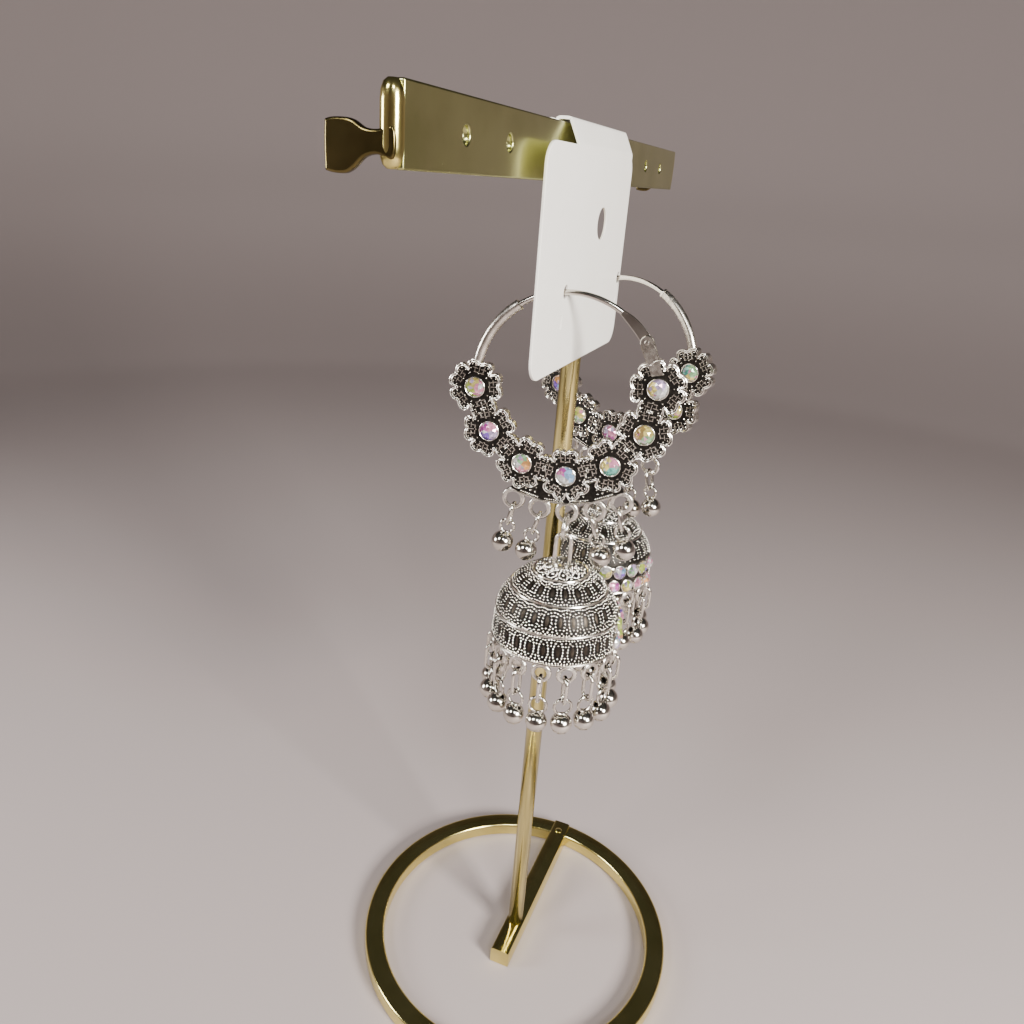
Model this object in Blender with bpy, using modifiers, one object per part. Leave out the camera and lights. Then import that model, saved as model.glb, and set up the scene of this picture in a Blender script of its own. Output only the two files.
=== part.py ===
"""Pair of jhumka hoop earrings on their card, held by a small T stand."""
import math

import bmesh
import bpy
from mathutils import Matrix, Vector

# All sizes are in metres. X runs along the top bar, the card faces -Y, the floor is z = 0.
GAP = 0.0003  # clearance kept where two pieces meet
FLAT_ANGLE = math.radians(0.5)  # faces closer than this count as one

# stand
RING_RADIUS = 0.040
RING_BAND = 0.005
RING_HEIGHT = 0.004
RING_EDGE = 0.0008
RING_STEPS = 40
BASE_BAR_WIDTH = 0.005
BASE_BAR_HEIGHT = 0.0046
BASE_BAR_NEAR = -0.011
BASE_BAR_FAR = RING_RADIUS - 0.0005
POST_RADIUS = 0.00195
POST_SIDES = 16
POST_WELD = 0.0004  # how far the post is let into the strip
SPIGOT_RADIUS = 0.0012
SPIGOT_DEPTH = 0.003
SPIGOT_ROOT = 0.002  # how far the spigot reaches up into the post
STRIP_BOTTOM = 0.189
STRIP_HEIGHT = 0.009
STRIP_HALF = 0.0715
STRIP_THICKNESS = 0.0012
STRIP_CORNER = 0.002
STRIP_HOLE_RADIUS = 0.0011
STRIP_HOLES = (-0.0544, -0.0402, 0.0402, 0.0544)
STRIP_TOP = STRIP_BOTTOM + STRIP_HEIGHT
TAB_LENGTH = 0.0086
# end tab: share of its length, then its lower and upper edge as shares of the strip's height
TAB_OUTLINE = (
    (0.0, 0.056, 0.467),
    (0.233, 0.089, 0.422),
    (0.407, 0.022, 0.522),
    (0.616, -0.089, 0.544),
    (0.930, -0.044, 0.522),
    (1.0, 0.056, 0.422),
)

# card
CARD_CENTRE = -0.0063
CARD_HALF = 0.0251
CARD_THICKNESS = 0.0005
CARD_CLEARANCE = 0.00065  # between the panel and the post
CARD_FRONT = -(POST_RADIUS + CARD_CLEARANCE + CARD_THICKNESS)
CARD_HEIGHT = 0.0367
CARD_FOLD = 0.0032  # the first fold lies this far under the strip's top
CARD_TOP = STRIP_TOP - CARD_FOLD
CARD_BOTTOM = CARD_TOP - CARD_HEIGHT
CARD_CORNER = 0.0036
HOOK_LEFT = -0.0165
HOOK_RIGHT = 0.0176
HOOK_CLEARANCE = 0.0004  # between the folded top and the strip
HOOK_FOOT = 0.001  # how far the hook is let into the panel
HOOK_TOP = STRIP_TOP + HOOK_CLEARANCE + CARD_THICKNESS
RIDGE_CLEARANCE = 0.00035  # in front of the strip, under the ridge
RIDGE_SETBACK = 0.0003
FLAP_HALF = 0.0212
FLAP_CORNER = 0.002
FLAP_CLEARANCE = 0.0005  # behind the strip
FLAP_BOTTOM = STRIP_BOTTOM + 0.0009
FLAP_BACK = STRIP_THICKNESS / 2 + FLAP_CLEARANCE + CARD_THICKNESS
HANG_HOLE_X = 0.0010
HANG_HOLE_DROP = 0.0125
HANG_HOLE_RADIUS = 0.00285
WIRE_HOLE_RADIUS = 0.0012
SLIT_OFFSET = (-0.0013, -0.0050)
SLIT_WIDTH = 0.0008
SLIT_HEIGHT = 0.0026

# hoop, in its own plane: X across, Z up, -Y its face
HOOP_RADIUS = 0.0166
TUBE_RADIUS = 0.00095
TUBE_SINK = 3.0  # degrees of tube let into the first flower
TUBE_POINTS = 8
WIRE_POINTS = 15
TUBE_SOCKET = 0.0008
WIRE_RADIUS = 0.0005
MOUTH_ANGLE = 118.0
WIRE_TIP_ANGLE = 125.0
PADDLE_START = 54.0
PADDLE_END = 35.0
HINGE_ANGLE = 29.0
PADDLE_HALF_WIDTH = 0.0009
PADDLE_HALF_THICKNESS = 0.0003
PADDLE_SHARES = (0.33, 0.78, 1.0, 1.0, 0.67)  # its half width from the wire to the hinge
LUG_THICKNESS = 0.00045
LUG_GAP = 0.0002
LUG_FOOT_ANGLE = 8.0
LUG_REACH = TUBE_RADIUS + 0.00015
PIN_RADIUS = 0.00035
PIN_HOLE_RADIUS = 0.0006
FLOWERS = 7
FLOWER_STEP = 30.0
PETALS = 5
PETAL_TIP = 0.0051
PETAL_VALLEY = 0.0031
PETAL_LOBE = 20.0
PETAL_DIP = 36.0
FLOWER_HALF = 0.0010
FLOWER_HALF_ODD = 0.0009
SETTING_RADIUS = 0.0020
STONE_RADIUS = 0.0017
TABLE_RADIUS = 0.0009
SETTING_RISE = 0.0005
STONE_RISE = 0.0011
STONE_SIDES = 8
SETTING_FOOT = 0.0004
PLATE_INNER = HOOP_RADIUS + 0.0019
PLATE_OUTER = HOOP_RADIUS + 0.0058
PLATE_SPREAD = 29.0
PLATE_HALF = 0.0006
WINDOW_ANGLES = (255.0, 285.0)  # openings in the plate, between the flowers
WINDOW_CIRCLE = HOOP_RADIUS + 0.0037
WINDOW_RADIUS = 0.0009

# eyes and hanging links
LINK_SIDES = 10
WIRE_SIDES = 5
EYE_RADIUS = 0.0019
EYE_WIRE = 0.0004
EYE_CIRCLE = HOOP_RADIUS + 0.0074
EYE_STEP = 12.8
EYES = 5
LINK_WIRE = 0.00035
LINK_HALF_WIDTH = 0.0013
BALL_RADIUS = 0.00215
BALL_RINGS = 4
HOOP_DROP = 0.0096
DROP_SPLAY = 10.0  # the balls stand off the bell's shoulder
RIM_DROP = 0.0112
JUMP_RADIUS = 0.00245
JUMP_WIRE = 0.0004

# bell, heights measured from its rim
BELL_HANG = 0.02665  # from the middle eye down to the rim
BELL_STEPS = 24
BELL_WALL = 0.0009
# radius, height above the rim, down the outer side
BELL_OUTER = (
    (0.0, 0.0149),
    (0.0030, 0.0147),
    (0.0054, 0.0143),
    (0.0078, 0.0130),
    (0.0095, 0.0111),
    (0.0112, 0.0088),
    (0.0121, 0.0061),
    (0.0124, 0.0030),
    (0.0127, 0.0),
)
BELL_INSIDE = (0.0, 0.3, 0.6, 0.85, 1.0)  # steps of the hollow, from its rim to its crown
RIM_EYE_RADIUS = 0.00165
RIM_EYE_CIRCLE = 0.0124
RIM_EYES = 16
LOOP_HALF_WIDTH = 0.0015

# placement: hoop centre, heading of the hoop's X axis, tilt in its own plane, side of the hinge
FRONT_CENTRE = (CARD_CENTRE - 0.4104 * CARD_HALF, CARD_FRONT - 0.0014, CARD_TOP - 0.0398)
BACK_CENTRE = (CARD_CENTRE + 0.9124 * CARD_HALF, CARD_FRONT - 0.0029, CARD_TOP - 0.0398)
EARRINGS = (
    ("front", FRONT_CENTRE, -81.7, 6.5, 1),
    ("back", BACK_CENTRE, -104.5, 0.0, -1),
)


def clear_scene():
    for item in list(bpy.data.objects):
        bpy.data.objects.remove(item, do_unlink=True)


def make_collection(name):
    made = bpy.data.collections.new(name)
    bpy.context.scene.collection.children.link(made)
    return made


clear_scene()
PARTS = make_collection("jhumka_hoop_earrings")
CUTTERS = make_collection("cutters")


def material(name, colour, metallic, roughness):
    made = bpy.data.materials.new(name)
    made.use_nodes = True
    shader = made.node_tree.nodes["Principled BSDF"]
    shader.inputs["Base Color"].default_value = (*colour, 1.0)
    shader.inputs["Metallic"].default_value = metallic
    shader.inputs["Roughness"].default_value = roughness
    made.diffuse_color = (*colour, 1.0)
    return made


LOOKS = {
    "gold": ((0.62, 0.47, 0.19), 1.0, 0.15),
    "silver": ((0.62, 0.60, 0.57), 1.0, 0.30),
    "wire": ((0.75, 0.73, 0.70), 1.0, 0.22),
    "card": ((0.82, 0.80, 0.74), 0.0, 0.45),
}


def scratch(name, mesh):
    """An object holding a mesh while it is worked on."""
    made = bpy.data.objects.new(name, mesh)
    CUTTERS.objects.link(made)
    made.hide_render = True
    made.display_type = "WIRE"
    return made


def tidied(made):
    """Merges flat neighbouring faces left by the joins."""
    work = bmesh.new()
    work.from_mesh(made.data)
    bmesh.ops.dissolve_limit(work, angle_limit=FLAT_ANGLE, verts=work.verts, edges=work.edges)
    bmesh.ops.triangulate(work, faces=work.faces)
    work.to_mesh(made.data)
    work.free()
    return made


def finish(made, name, look, smooth=False):
    """Moves a worked object to the part's own collection under its plain name."""
    CUTTERS.objects.unlink(made)
    PARTS.objects.link(made)
    made.name = name
    made.data.name = name
    made.hide_render = False
    made.display_type = "TEXTURED"
    colour, metallic, roughness = LOOKS[look]
    made.data.materials.clear()
    made.data.materials.append(material(name, colour, metallic, roughness))
    for face in made.data.polygons:
        face.use_smooth = smooth
    return made


def baked(made):
    """Evaluates modifiers or a curve into a plain mesh object."""
    graph = bpy.context.evaluated_depsgraph_get()
    shape = bpy.data.meshes.new_from_object(made.evaluated_get(graph))
    shape.transform(made.matrix_world)
    work = bmesh.new()
    work.from_mesh(shape)
    bmesh.ops.remove_doubles(work, verts=work.verts, dist=1e-6)
    bmesh.ops.recalc_face_normals(work, faces=work.faces)
    work.to_mesh(shape)
    work.free()
    name = made.name
    bpy.data.objects.remove(made, do_unlink=True)
    return scratch(name, shape)


def combine(target, tool, operation):
    change = target.modifiers.new(operation.lower(), "BOOLEAN")
    change.operation = operation
    change.solver = "EXACT"
    change.object = tool
    result = baked(target)
    bpy.data.objects.remove(tool, do_unlink=True)
    return result


def join(target, tool):
    return combine(target, tool, "UNION")


def cut(target, tool):
    return combine(target, tool, "DIFFERENCE")


def mesh_from(work, name):
    mesh = bpy.data.meshes.new(name)
    bmesh.ops.recalc_face_normals(work, faces=work.faces)
    work.to_mesh(mesh)
    work.free()
    return scratch(name, mesh)


def cylinder(radius, low, high, sides, name="cylinder"):
    """Upright cylinder on the Z axis between two heights."""
    work = bmesh.new()
    shift = Matrix.Translation((0.0, 0.0, (low + high) / 2))
    bmesh.ops.create_cone(work, cap_ends=True, segments=sides, radius1=radius,
                          radius2=radius, depth=high - low, matrix=shift)
    return mesh_from(work, name)


def box(low, high, name="box"):
    work = bmesh.new()
    size = [b - a for a, b in zip(low, high)]
    middle = [(a + b) / 2 for a, b in zip(low, high)]
    place = Matrix.Translation(middle) @ Matrix.Diagonal((*size, 1.0))
    bmesh.ops.create_cube(work, size=1.0, matrix=place)
    return mesh_from(work, name)


def ball(radius, centre, sides, rings, name="ball"):
    work = bmesh.new()
    bmesh.ops.create_uvsphere(work, u_segments=sides, v_segments=rings, radius=radius,
                              matrix=Matrix.Translation(centre))
    return mesh_from(work, name)


def moved(made, matrix):
    made.data.transform(matrix)
    made.data.update()
    return made


def ring_link(radius, wire, stretch=0.0, sides=LINK_SIDES, name="link"):
    """Wire ring in the XZ plane, its lower half pulled down by stretch."""
    bpy.ops.mesh.primitive_torus_add(major_segments=sides, minor_segments=WIRE_SIDES,
                                     major_radius=radius, minor_radius=wire)
    made = bpy.context.active_object
    mesh = made.data.copy()
    bpy.data.objects.remove(made, do_unlink=True)
    mesh.transform(Matrix.Rotation(math.radians(90.0), 4, "X"))
    for vertex in mesh.vertices:
        if vertex.co.z < -1e-7:
            vertex.co.z -= stretch
    return scratch(name, mesh)


def cast_eye(radius, name="eye"):
    """Cast ring of square section in the XZ plane."""
    low, high = radius - EYE_WIRE, radius + EYE_WIRE
    section = [(high, EYE_WIRE), (high, -EYE_WIRE), (low, -EYE_WIRE), (low, EYE_WIRE)]
    return moved(turned(section, LINK_SIDES, name), Matrix.Rotation(math.radians(90.0), 4, "X"))


def prism(points, half, name="prism"):
    """Flat outline in the XZ plane, extruded to both sides along Y."""
    curve = bpy.data.curves.new(name, "CURVE")
    curve.dimensions = "2D"
    curve.fill_mode = "BOTH"
    curve.extrude = half
    spline = curve.splines.new("POLY")
    spline.points.add(len(points) - 1)
    for item, (x, z) in zip(spline.points, points):
        item.co = (x, z, 0.0, 1.0)
    spline.use_cyclic_u = True
    made = bpy.data.objects.new(name, curve)
    CUTTERS.objects.link(made)
    made.matrix_world = Matrix.Rotation(math.radians(90.0), 4, "X")
    bpy.context.view_layer.update()
    return baked(made)


def tube(points, radius, resolution, name="tube"):
    """Round wire along a list of points, with closed ends."""
    curve = bpy.data.curves.new(name, "CURVE")
    curve.dimensions = "3D"
    curve.bevel_depth = radius
    curve.bevel_resolution = resolution
    curve.use_fill_caps = True
    spline = curve.splines.new("POLY")
    spline.points.add(len(points) - 1)
    for item, point in zip(spline.points, points):
        item.co = (*point, 1.0)
    made = bpy.data.objects.new(name, curve)
    CUTTERS.objects.link(made)
    bpy.context.view_layer.update()
    return baked(made)


def turned(profile, steps, name="turned"):
    """Closed outline of (radius, height) pairs swept round the Z axis."""
    mesh = bpy.data.meshes.new(name)
    count = len(profile)
    edges = [(i, i + 1) for i in range(count - 1)]
    if profile[0][0] > 0.0:
        edges.append((count - 1, 0))
    mesh.from_pydata([(r, 0.0, z) for r, z in profile], edges, [])
    made = scratch(name, mesh)
    sweep = made.modifiers.new("sweep", "SCREW")
    sweep.steps = steps
    sweep.render_steps = steps
    sweep.use_merge_vertices = True
    sweep.merge_threshold = 0.000001
    return baked(made)


def on_circle(radius, degrees, depth=0.0):
    turn = math.radians(degrees)
    return (radius * math.cos(turn), depth, radius * math.sin(turn))


def arc(radius, start, end, count, depth=0.0):
    step = (end - start) / (count - 1)
    return [on_circle(radius, start + step * i, depth) for i in range(count)]


def rounded(left, bottom, right, top, radius, steps=3):
    """Outline of a rectangle with rounded corners."""
    centres = ((right - radius, top - radius, 0.0), (left + radius, top - radius, 90.0),
               (left + radius, bottom + radius, 180.0), (right - radius, bottom + radius, 270.0))
    points = []
    for x, z, start in centres:
        for i in range(steps + 1):
            turn = math.radians(start + 90.0 * i / steps)
            points.append((x + radius * math.cos(turn), z + radius * math.sin(turn)))
    return points


def along_y(made, x, z, depth):
    """Turns an upright solid to run along Y and sets it at x, depth, z."""
    turn = Matrix.Rotation(math.radians(90.0), 4, "X")
    return moved(made, Matrix.Translation((x, depth, z)) @ turn)


# stand

def build_base():
    inner = RING_RADIUS - RING_BAND
    edge = RING_EDGE
    profile = [
        (RING_RADIUS, 0.0), (inner, 0.0), (inner, RING_HEIGHT - edge), (inner + edge, RING_HEIGHT),
        (RING_RADIUS - edge, RING_HEIGHT), (RING_RADIUS, RING_HEIGHT - edge),
    ]
    ring = turned(profile, RING_STEPS, "stand_ring")
    half = BASE_BAR_WIDTH / 2
    bar = box((BASE_BAR_NEAR, -half, 0.0), (BASE_BAR_FAR, half, BASE_BAR_HEIGHT), "stand_bar")
    base = join(ring, bar)
    socket = SPIGOT_RADIUS + GAP
    floor = BASE_BAR_HEIGHT - SPIGOT_DEPTH - GAP
    base = cut(base, cylinder(socket, floor, BASE_BAR_HEIGHT + SPIGOT_ROOT, POST_SIDES))
    return finish(tidied(base), "stand_base", "gold")


def end_tab(side):
    lower = []
    upper = []
    for along, low, high in TAB_OUTLINE:
        lower.append((along * TAB_LENGTH, STRIP_BOTTOM + low * STRIP_HEIGHT))
        upper.append((along * TAB_LENGTH, STRIP_BOTTOM + high * STRIP_HEIGHT))
    upper.reverse()
    tab = prism(lower + upper, STRIP_THICKNESS / 2, "end_tab")
    turn = Matrix.Rotation(math.radians(90.0), 4, "Z")
    x = side * (STRIP_HALF - STRIP_THICKNESS / 2)
    return moved(tab, Matrix.Translation((x, 0.0, 0.0)) @ turn)


def build_post():
    post = cylinder(POST_RADIUS, BASE_BAR_HEIGHT + GAP, STRIP_BOTTOM + POST_WELD, POST_SIDES, "post")
    foot = BASE_BAR_HEIGHT - SPIGOT_DEPTH
    spigot = cylinder(SPIGOT_RADIUS, foot, BASE_BAR_HEIGHT + SPIGOT_ROOT, POST_SIDES)
    post = join(post, spigot)
    outline = rounded(-STRIP_HALF, STRIP_BOTTOM, STRIP_HALF, STRIP_TOP, STRIP_CORNER)
    strip = prism(outline, STRIP_THICKNESS / 2, "strip")
    for x in STRIP_HOLES:
        hole = cylinder(STRIP_HOLE_RADIUS, -STRIP_THICKNESS, STRIP_THICKNESS, 12)
        strip = cut(strip, along_y(hole, x, STRIP_BOTTOM + STRIP_HEIGHT / 2, 0.0))
    post = join(post, strip)
    for side in (-1, 1):
        post = join(post, end_tab(side))
    return finish(tidied(post), "stand_post", "gold")


# card

def hook_section():
    """Outline of the folded top of the card in the YZ plane."""
    thick = CARD_THICKNESS
    back = FLAP_BACK
    foot = CARD_TOP - HOOK_FOOT
    under = -(STRIP_THICKNESS / 2 + RIDGE_CLEARANCE)
    return [
        (CARD_FRONT, foot), (CARD_FRONT + thick, foot),
        (CARD_FRONT + thick, CARD_TOP), (under, HOOK_TOP - thick),
        (back - 1.6 * thick, HOOK_TOP - thick), (back - thick, HOOK_TOP - 1.6 * thick),
        (back - thick, FLAP_BOTTOM), (back, FLAP_BOTTOM),
        (back, HOOK_TOP - 0.7 * thick), (back - 0.7 * thick, HOOK_TOP),
        (under - RIDGE_SETBACK, HOOK_TOP), (CARD_FRONT, CARD_TOP),
    ]


def build_card(wire_holes):
    left = CARD_CENTRE - CARD_HALF
    right = CARD_CENTRE + CARD_HALF
    panel = prism(rounded(left, CARD_BOTTOM, right, CARD_TOP, CARD_CORNER), CARD_THICKNESS / 2, "card")
    panel = moved(panel, Matrix.Translation((0.0, CARD_FRONT + CARD_THICKNESS / 2, 0.0)))
    hook = prism(hook_section(), (HOOK_RIGHT - HOOK_LEFT) / 2, "hook")
    turn = Matrix.Rotation(math.radians(90.0), 4, "Z")
    hook = moved(hook, Matrix.Translation(((HOOK_LEFT + HOOK_RIGHT) / 2, 0.0, 0.0)) @ turn)
    card = join(panel, hook)
    low = FLAP_BOTTOM - CARD_THICKNESS
    flap_outline = rounded(-FLAP_HALF, low, FLAP_HALF, HOOK_TOP - CARD_THICKNESS, FLAP_CORNER)
    flap = prism(flap_outline, CARD_THICKNESS * 0.56, "flap")
    card = join(card, moved(flap, Matrix.Translation((0.0, FLAP_BACK - CARD_THICKNESS / 2, 0.0))))
    middle = CARD_FRONT + CARD_THICKNESS / 2
    holes = [(HANG_HOLE_X, CARD_TOP - HANG_HOLE_DROP, HANG_HOLE_RADIUS, 16)]
    holes += [(x, z, WIRE_HOLE_RADIUS, 10) for x, z in wire_holes]
    for x, z, radius, sides in holes:
        tool = cylinder(radius, -CARD_THICKNESS * 2, CARD_THICKNESS * 2, sides)
        card = cut(card, along_y(tool, x, z, middle))
    for x, z in wire_holes:
        foot = z + SLIT_OFFSET[1] - SLIT_HEIGHT / 2
        low = (x + SLIT_OFFSET[0] - SLIT_WIDTH / 2, middle - CARD_THICKNESS, foot)
        high = (low[0] + SLIT_WIDTH, middle + CARD_THICKNESS, foot + SLIT_HEIGHT)
        card = cut(card, box(low, high))
    return finish(tidied(card), "card", "card")


# one hoop, built round its own centre

def flower_outline():
    """Five square-ended petals, as x, z pairs."""
    points = []
    for k in range(PETALS):
        middle = 90.0 + 360.0 / PETALS * k
        for radius, offset in ((PETAL_VALLEY, -PETAL_DIP), (PETAL_TIP, -PETAL_LOBE), (PETAL_TIP, PETAL_LOBE)):
            turn = math.radians(middle + offset)
            points.append((radius * math.cos(turn), radius * math.sin(turn)))
    return points


def set_stone():
    """Collar with a cut stone, its table facing -Y."""
    profile = [(0.0, STONE_RISE), (TABLE_RADIUS, STONE_RISE), (STONE_RADIUS, SETTING_RISE * 1.2),
               (SETTING_RADIUS, SETTING_RISE), (SETTING_RADIUS, -SETTING_FOOT), (0.0, -SETTING_FOOT)]
    return moved(turned(profile, STONE_SIDES, "stone"), Matrix.Rotation(math.radians(90.0), 4, "X"))


def flower(index):
    half = FLOWER_HALF if index % 2 == 0 else FLOWER_HALF_ODD
    made = prism(flower_outline(), half, "flower")
    made = join(made, moved(set_stone(), Matrix.Translation((0.0, -half, 0.0))))
    angle = 180.0 + FLOWER_STEP * index
    turn = Matrix.Rotation(-math.radians(angle + 90.0), 4, "Y")
    return moved(made, Matrix.Translation(on_circle(HOOP_RADIUS, angle)) @ turn)


def eye_plate():
    """Arc plate under the three lowest flowers that carries the eyes."""
    start = 270.0 - PLATE_SPREAD
    end = 270.0 + PLATE_SPREAD
    outer = [(x, z) for x, y, z in arc(PLATE_OUTER, start, end, 9)]
    inner = [(x, z) for x, y, z in arc(PLATE_INNER, end, start, 7)]
    made = prism(outer + inner, PLATE_HALF, "plate")
    for angle in WINDOW_ANGLES:
        spot = on_circle(WINDOW_CIRCLE, angle)
        tool = cylinder(WINDOW_RADIUS, -PLATE_HALF * 2, PLATE_HALF * 2, 8)
        made = cut(made, along_y(tool, spot[0], spot[2], 0.0))
    return made


def pointed(angle, half, reach):
    """Outline of a hinge leaf from the end flower to the hinge pin."""
    foot_low = on_circle(HOOP_RADIUS - half, LUG_FOOT_ANGLE)
    foot_high = on_circle(HOOP_RADIUS + half, LUG_FOOT_ANGLE)
    pin = on_circle(HOOP_RADIUS, angle)
    points = [(foot_low[0], foot_low[2]), (foot_high[0], foot_high[2])]
    for i in range(5):
        turn = math.radians(angle + 45.0 * i)
        points.append((pin[0] + reach * math.cos(turn), pin[2] + reach * math.sin(turn)))
    return points


def build_frame():
    body = tube(arc(HOOP_RADIUS, MOUTH_ANGLE, 180.0 + TUBE_SINK, TUBE_POINTS), TUBE_RADIUS, 1, "hoop")
    for index in range(FLOWERS):
        body = join(body, flower(index))
    body = join(body, eye_plate())
    for k in range(EYES):
        angle = 270.0 + EYE_STEP * (k - (EYES - 1) / 2)
        eye = moved(cast_eye(EYE_RADIUS), Matrix.Translation(on_circle(EYE_CIRCLE, angle)))
        body = join(body, eye)
    for side in (-1, 1):
        outline = pointed(HINGE_ANGLE, TUBE_RADIUS, LUG_REACH)
        depth = PADDLE_HALF_THICKNESS + LUG_GAP + LUG_THICKNESS / 2
        lug = prism(outline, LUG_THICKNESS / 2, "lug")
        body = join(body, moved(lug, Matrix.Translation((0.0, side * depth, 0.0))))
    reach = PADDLE_HALF_THICKNESS + LUG_GAP + LUG_THICKNESS * 0.67
    pin = cylinder(PIN_RADIUS, -reach, reach, 8)
    spot = on_circle(HOOP_RADIUS, HINGE_ANGLE)
    body = join(body, along_y(pin, spot[0], spot[2], 0.0))
    socket = tube(arc(HOOP_RADIUS, MOUTH_ANGLE - 2.0, WIRE_TIP_ANGLE + 2.0, 6), TUBE_SOCKET, 1, "socket")
    return tidied(cut(body, socket))


def build_wire():
    wire = tube(arc(HOOP_RADIUS, WIRE_TIP_ANGLE, PADDLE_START - 3.0, WIRE_POINTS), WIRE_RADIUS, 1, "ear_wire")
    outer = []
    inner = []
    stations = (PADDLE_START, PADDLE_START - 6.0, PADDLE_END + 4.0, HINGE_ANGLE, HINGE_ANGLE - 3.0)
    for angle, share in zip(stations, PADDLE_SHARES):
        half = PADDLE_HALF_WIDTH * share
        outer.append(on_circle(HOOP_RADIUS + half, angle))
        inner.append(on_circle(HOOP_RADIUS - half, angle))
    points = [(x, z) for x, y, z in outer + inner[::-1]]
    wire = join(wire, prism(points, PADDLE_HALF_THICKNESS, "paddle"))
    spot = on_circle(HOOP_RADIUS, HINGE_ANGLE)
    reach = PADDLE_HALF_THICKNESS * 2
    return cut(wire, along_y(cylinder(PIN_HOLE_RADIUS, -reach, reach, 8), spot[0], spot[2], 0.0))


# bell and drops, built on the Z axis

def build_bell(loop_top):
    profile = list(BELL_OUTER)
    rim_radius = BELL_OUTER[-1][0]
    crown = BELL_OUTER[0][1] - BELL_WALL
    for share in BELL_INSIDE:
        radius = (rim_radius - BELL_WALL) * math.cos(math.radians(90.0 * share))
        profile.append((radius if share < 1.0 else 0.0, crown * math.sin(math.radians(90.0 * share))))
    bell = turned(profile, BELL_STEPS, "bell")
    eyes = bmesh.new()
    for k in range(RIM_EYES):
        eye = cast_eye(RIM_EYE_RADIUS, "rim_eye")
        turn = Matrix.Rotation(2.0 * math.pi * k / RIM_EYES, 4, "Z")
        place = turn @ Matrix.Translation((0.0, -RIM_EYE_CIRCLE, -RIM_EYE_RADIUS))
        eye.data.transform(place)
        eyes.from_mesh(eye.data)
        bpy.data.objects.remove(eye, do_unlink=True)
    bell = join(bell, mesh_from(eyes, "rim_eyes"))
    top = BELL_OUTER[0][1]
    height = loop_top - top
    stretch = height + EYE_WIRE - 2.0 * LOOP_HALF_WIDTH
    loop = ring_link(LOOP_HALF_WIDTH, EYE_WIRE, stretch, name="loop")
    bell = join(bell, moved(loop, Matrix.Translation((0.0, 0.0, loop_top - LOOP_HALF_WIDTH))))
    return tidied(bell)


def build_drop(length, eye_radius):
    """Link and ball hanging from an eye whose centre is the origin."""
    top = -eye_radius + EYE_WIRE + LINK_WIRE + GAP
    bottom = -length + BALL_RADIUS - 0.0003
    stretch = (top - bottom) - 2.0 * LINK_HALF_WIDTH
    link = ring_link(LINK_HALF_WIDTH, LINK_WIRE, stretch, name="drop")
    link = moved(link, Matrix.Rotation(math.radians(90.0), 4, "Z"))
    link = moved(link, Matrix.Translation((0.0, 0.0, top - LINK_HALF_WIDTH)))
    return tidied(join(link, ball(BALL_RADIUS, (0.0, 0.0, -length), LINK_SIDES, BALL_RINGS)))


def copied(made, name, look, matrix, smooth=False):
    mesh = made.data.copy()
    item = scratch(name, mesh)
    moved(item, matrix)
    if matrix.determinant() < 0.0:
        mesh.flip_normals()
    return finish(item, name, look, smooth)


def hoop_matrix(centre, heading, tilt):
    turn = Matrix.Rotation(math.radians(heading), 4, "Z")
    lean = Matrix.Rotation(-math.radians(tilt), 4, "Y")
    return Matrix.Translation(centre) @ turn @ lean


def wire_crossing(centre, heading):
    """Where the ear wire passes through the card, as x, z."""
    depth = CARD_FRONT + CARD_THICKNESS / 2
    turn = math.radians(heading)
    across = (depth - centre[1]) / math.sin(turn)
    height = math.sqrt(HOOP_RADIUS ** 2 - across ** 2)
    return (centre[0] + across * math.cos(turn), centre[2] + height)


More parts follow.
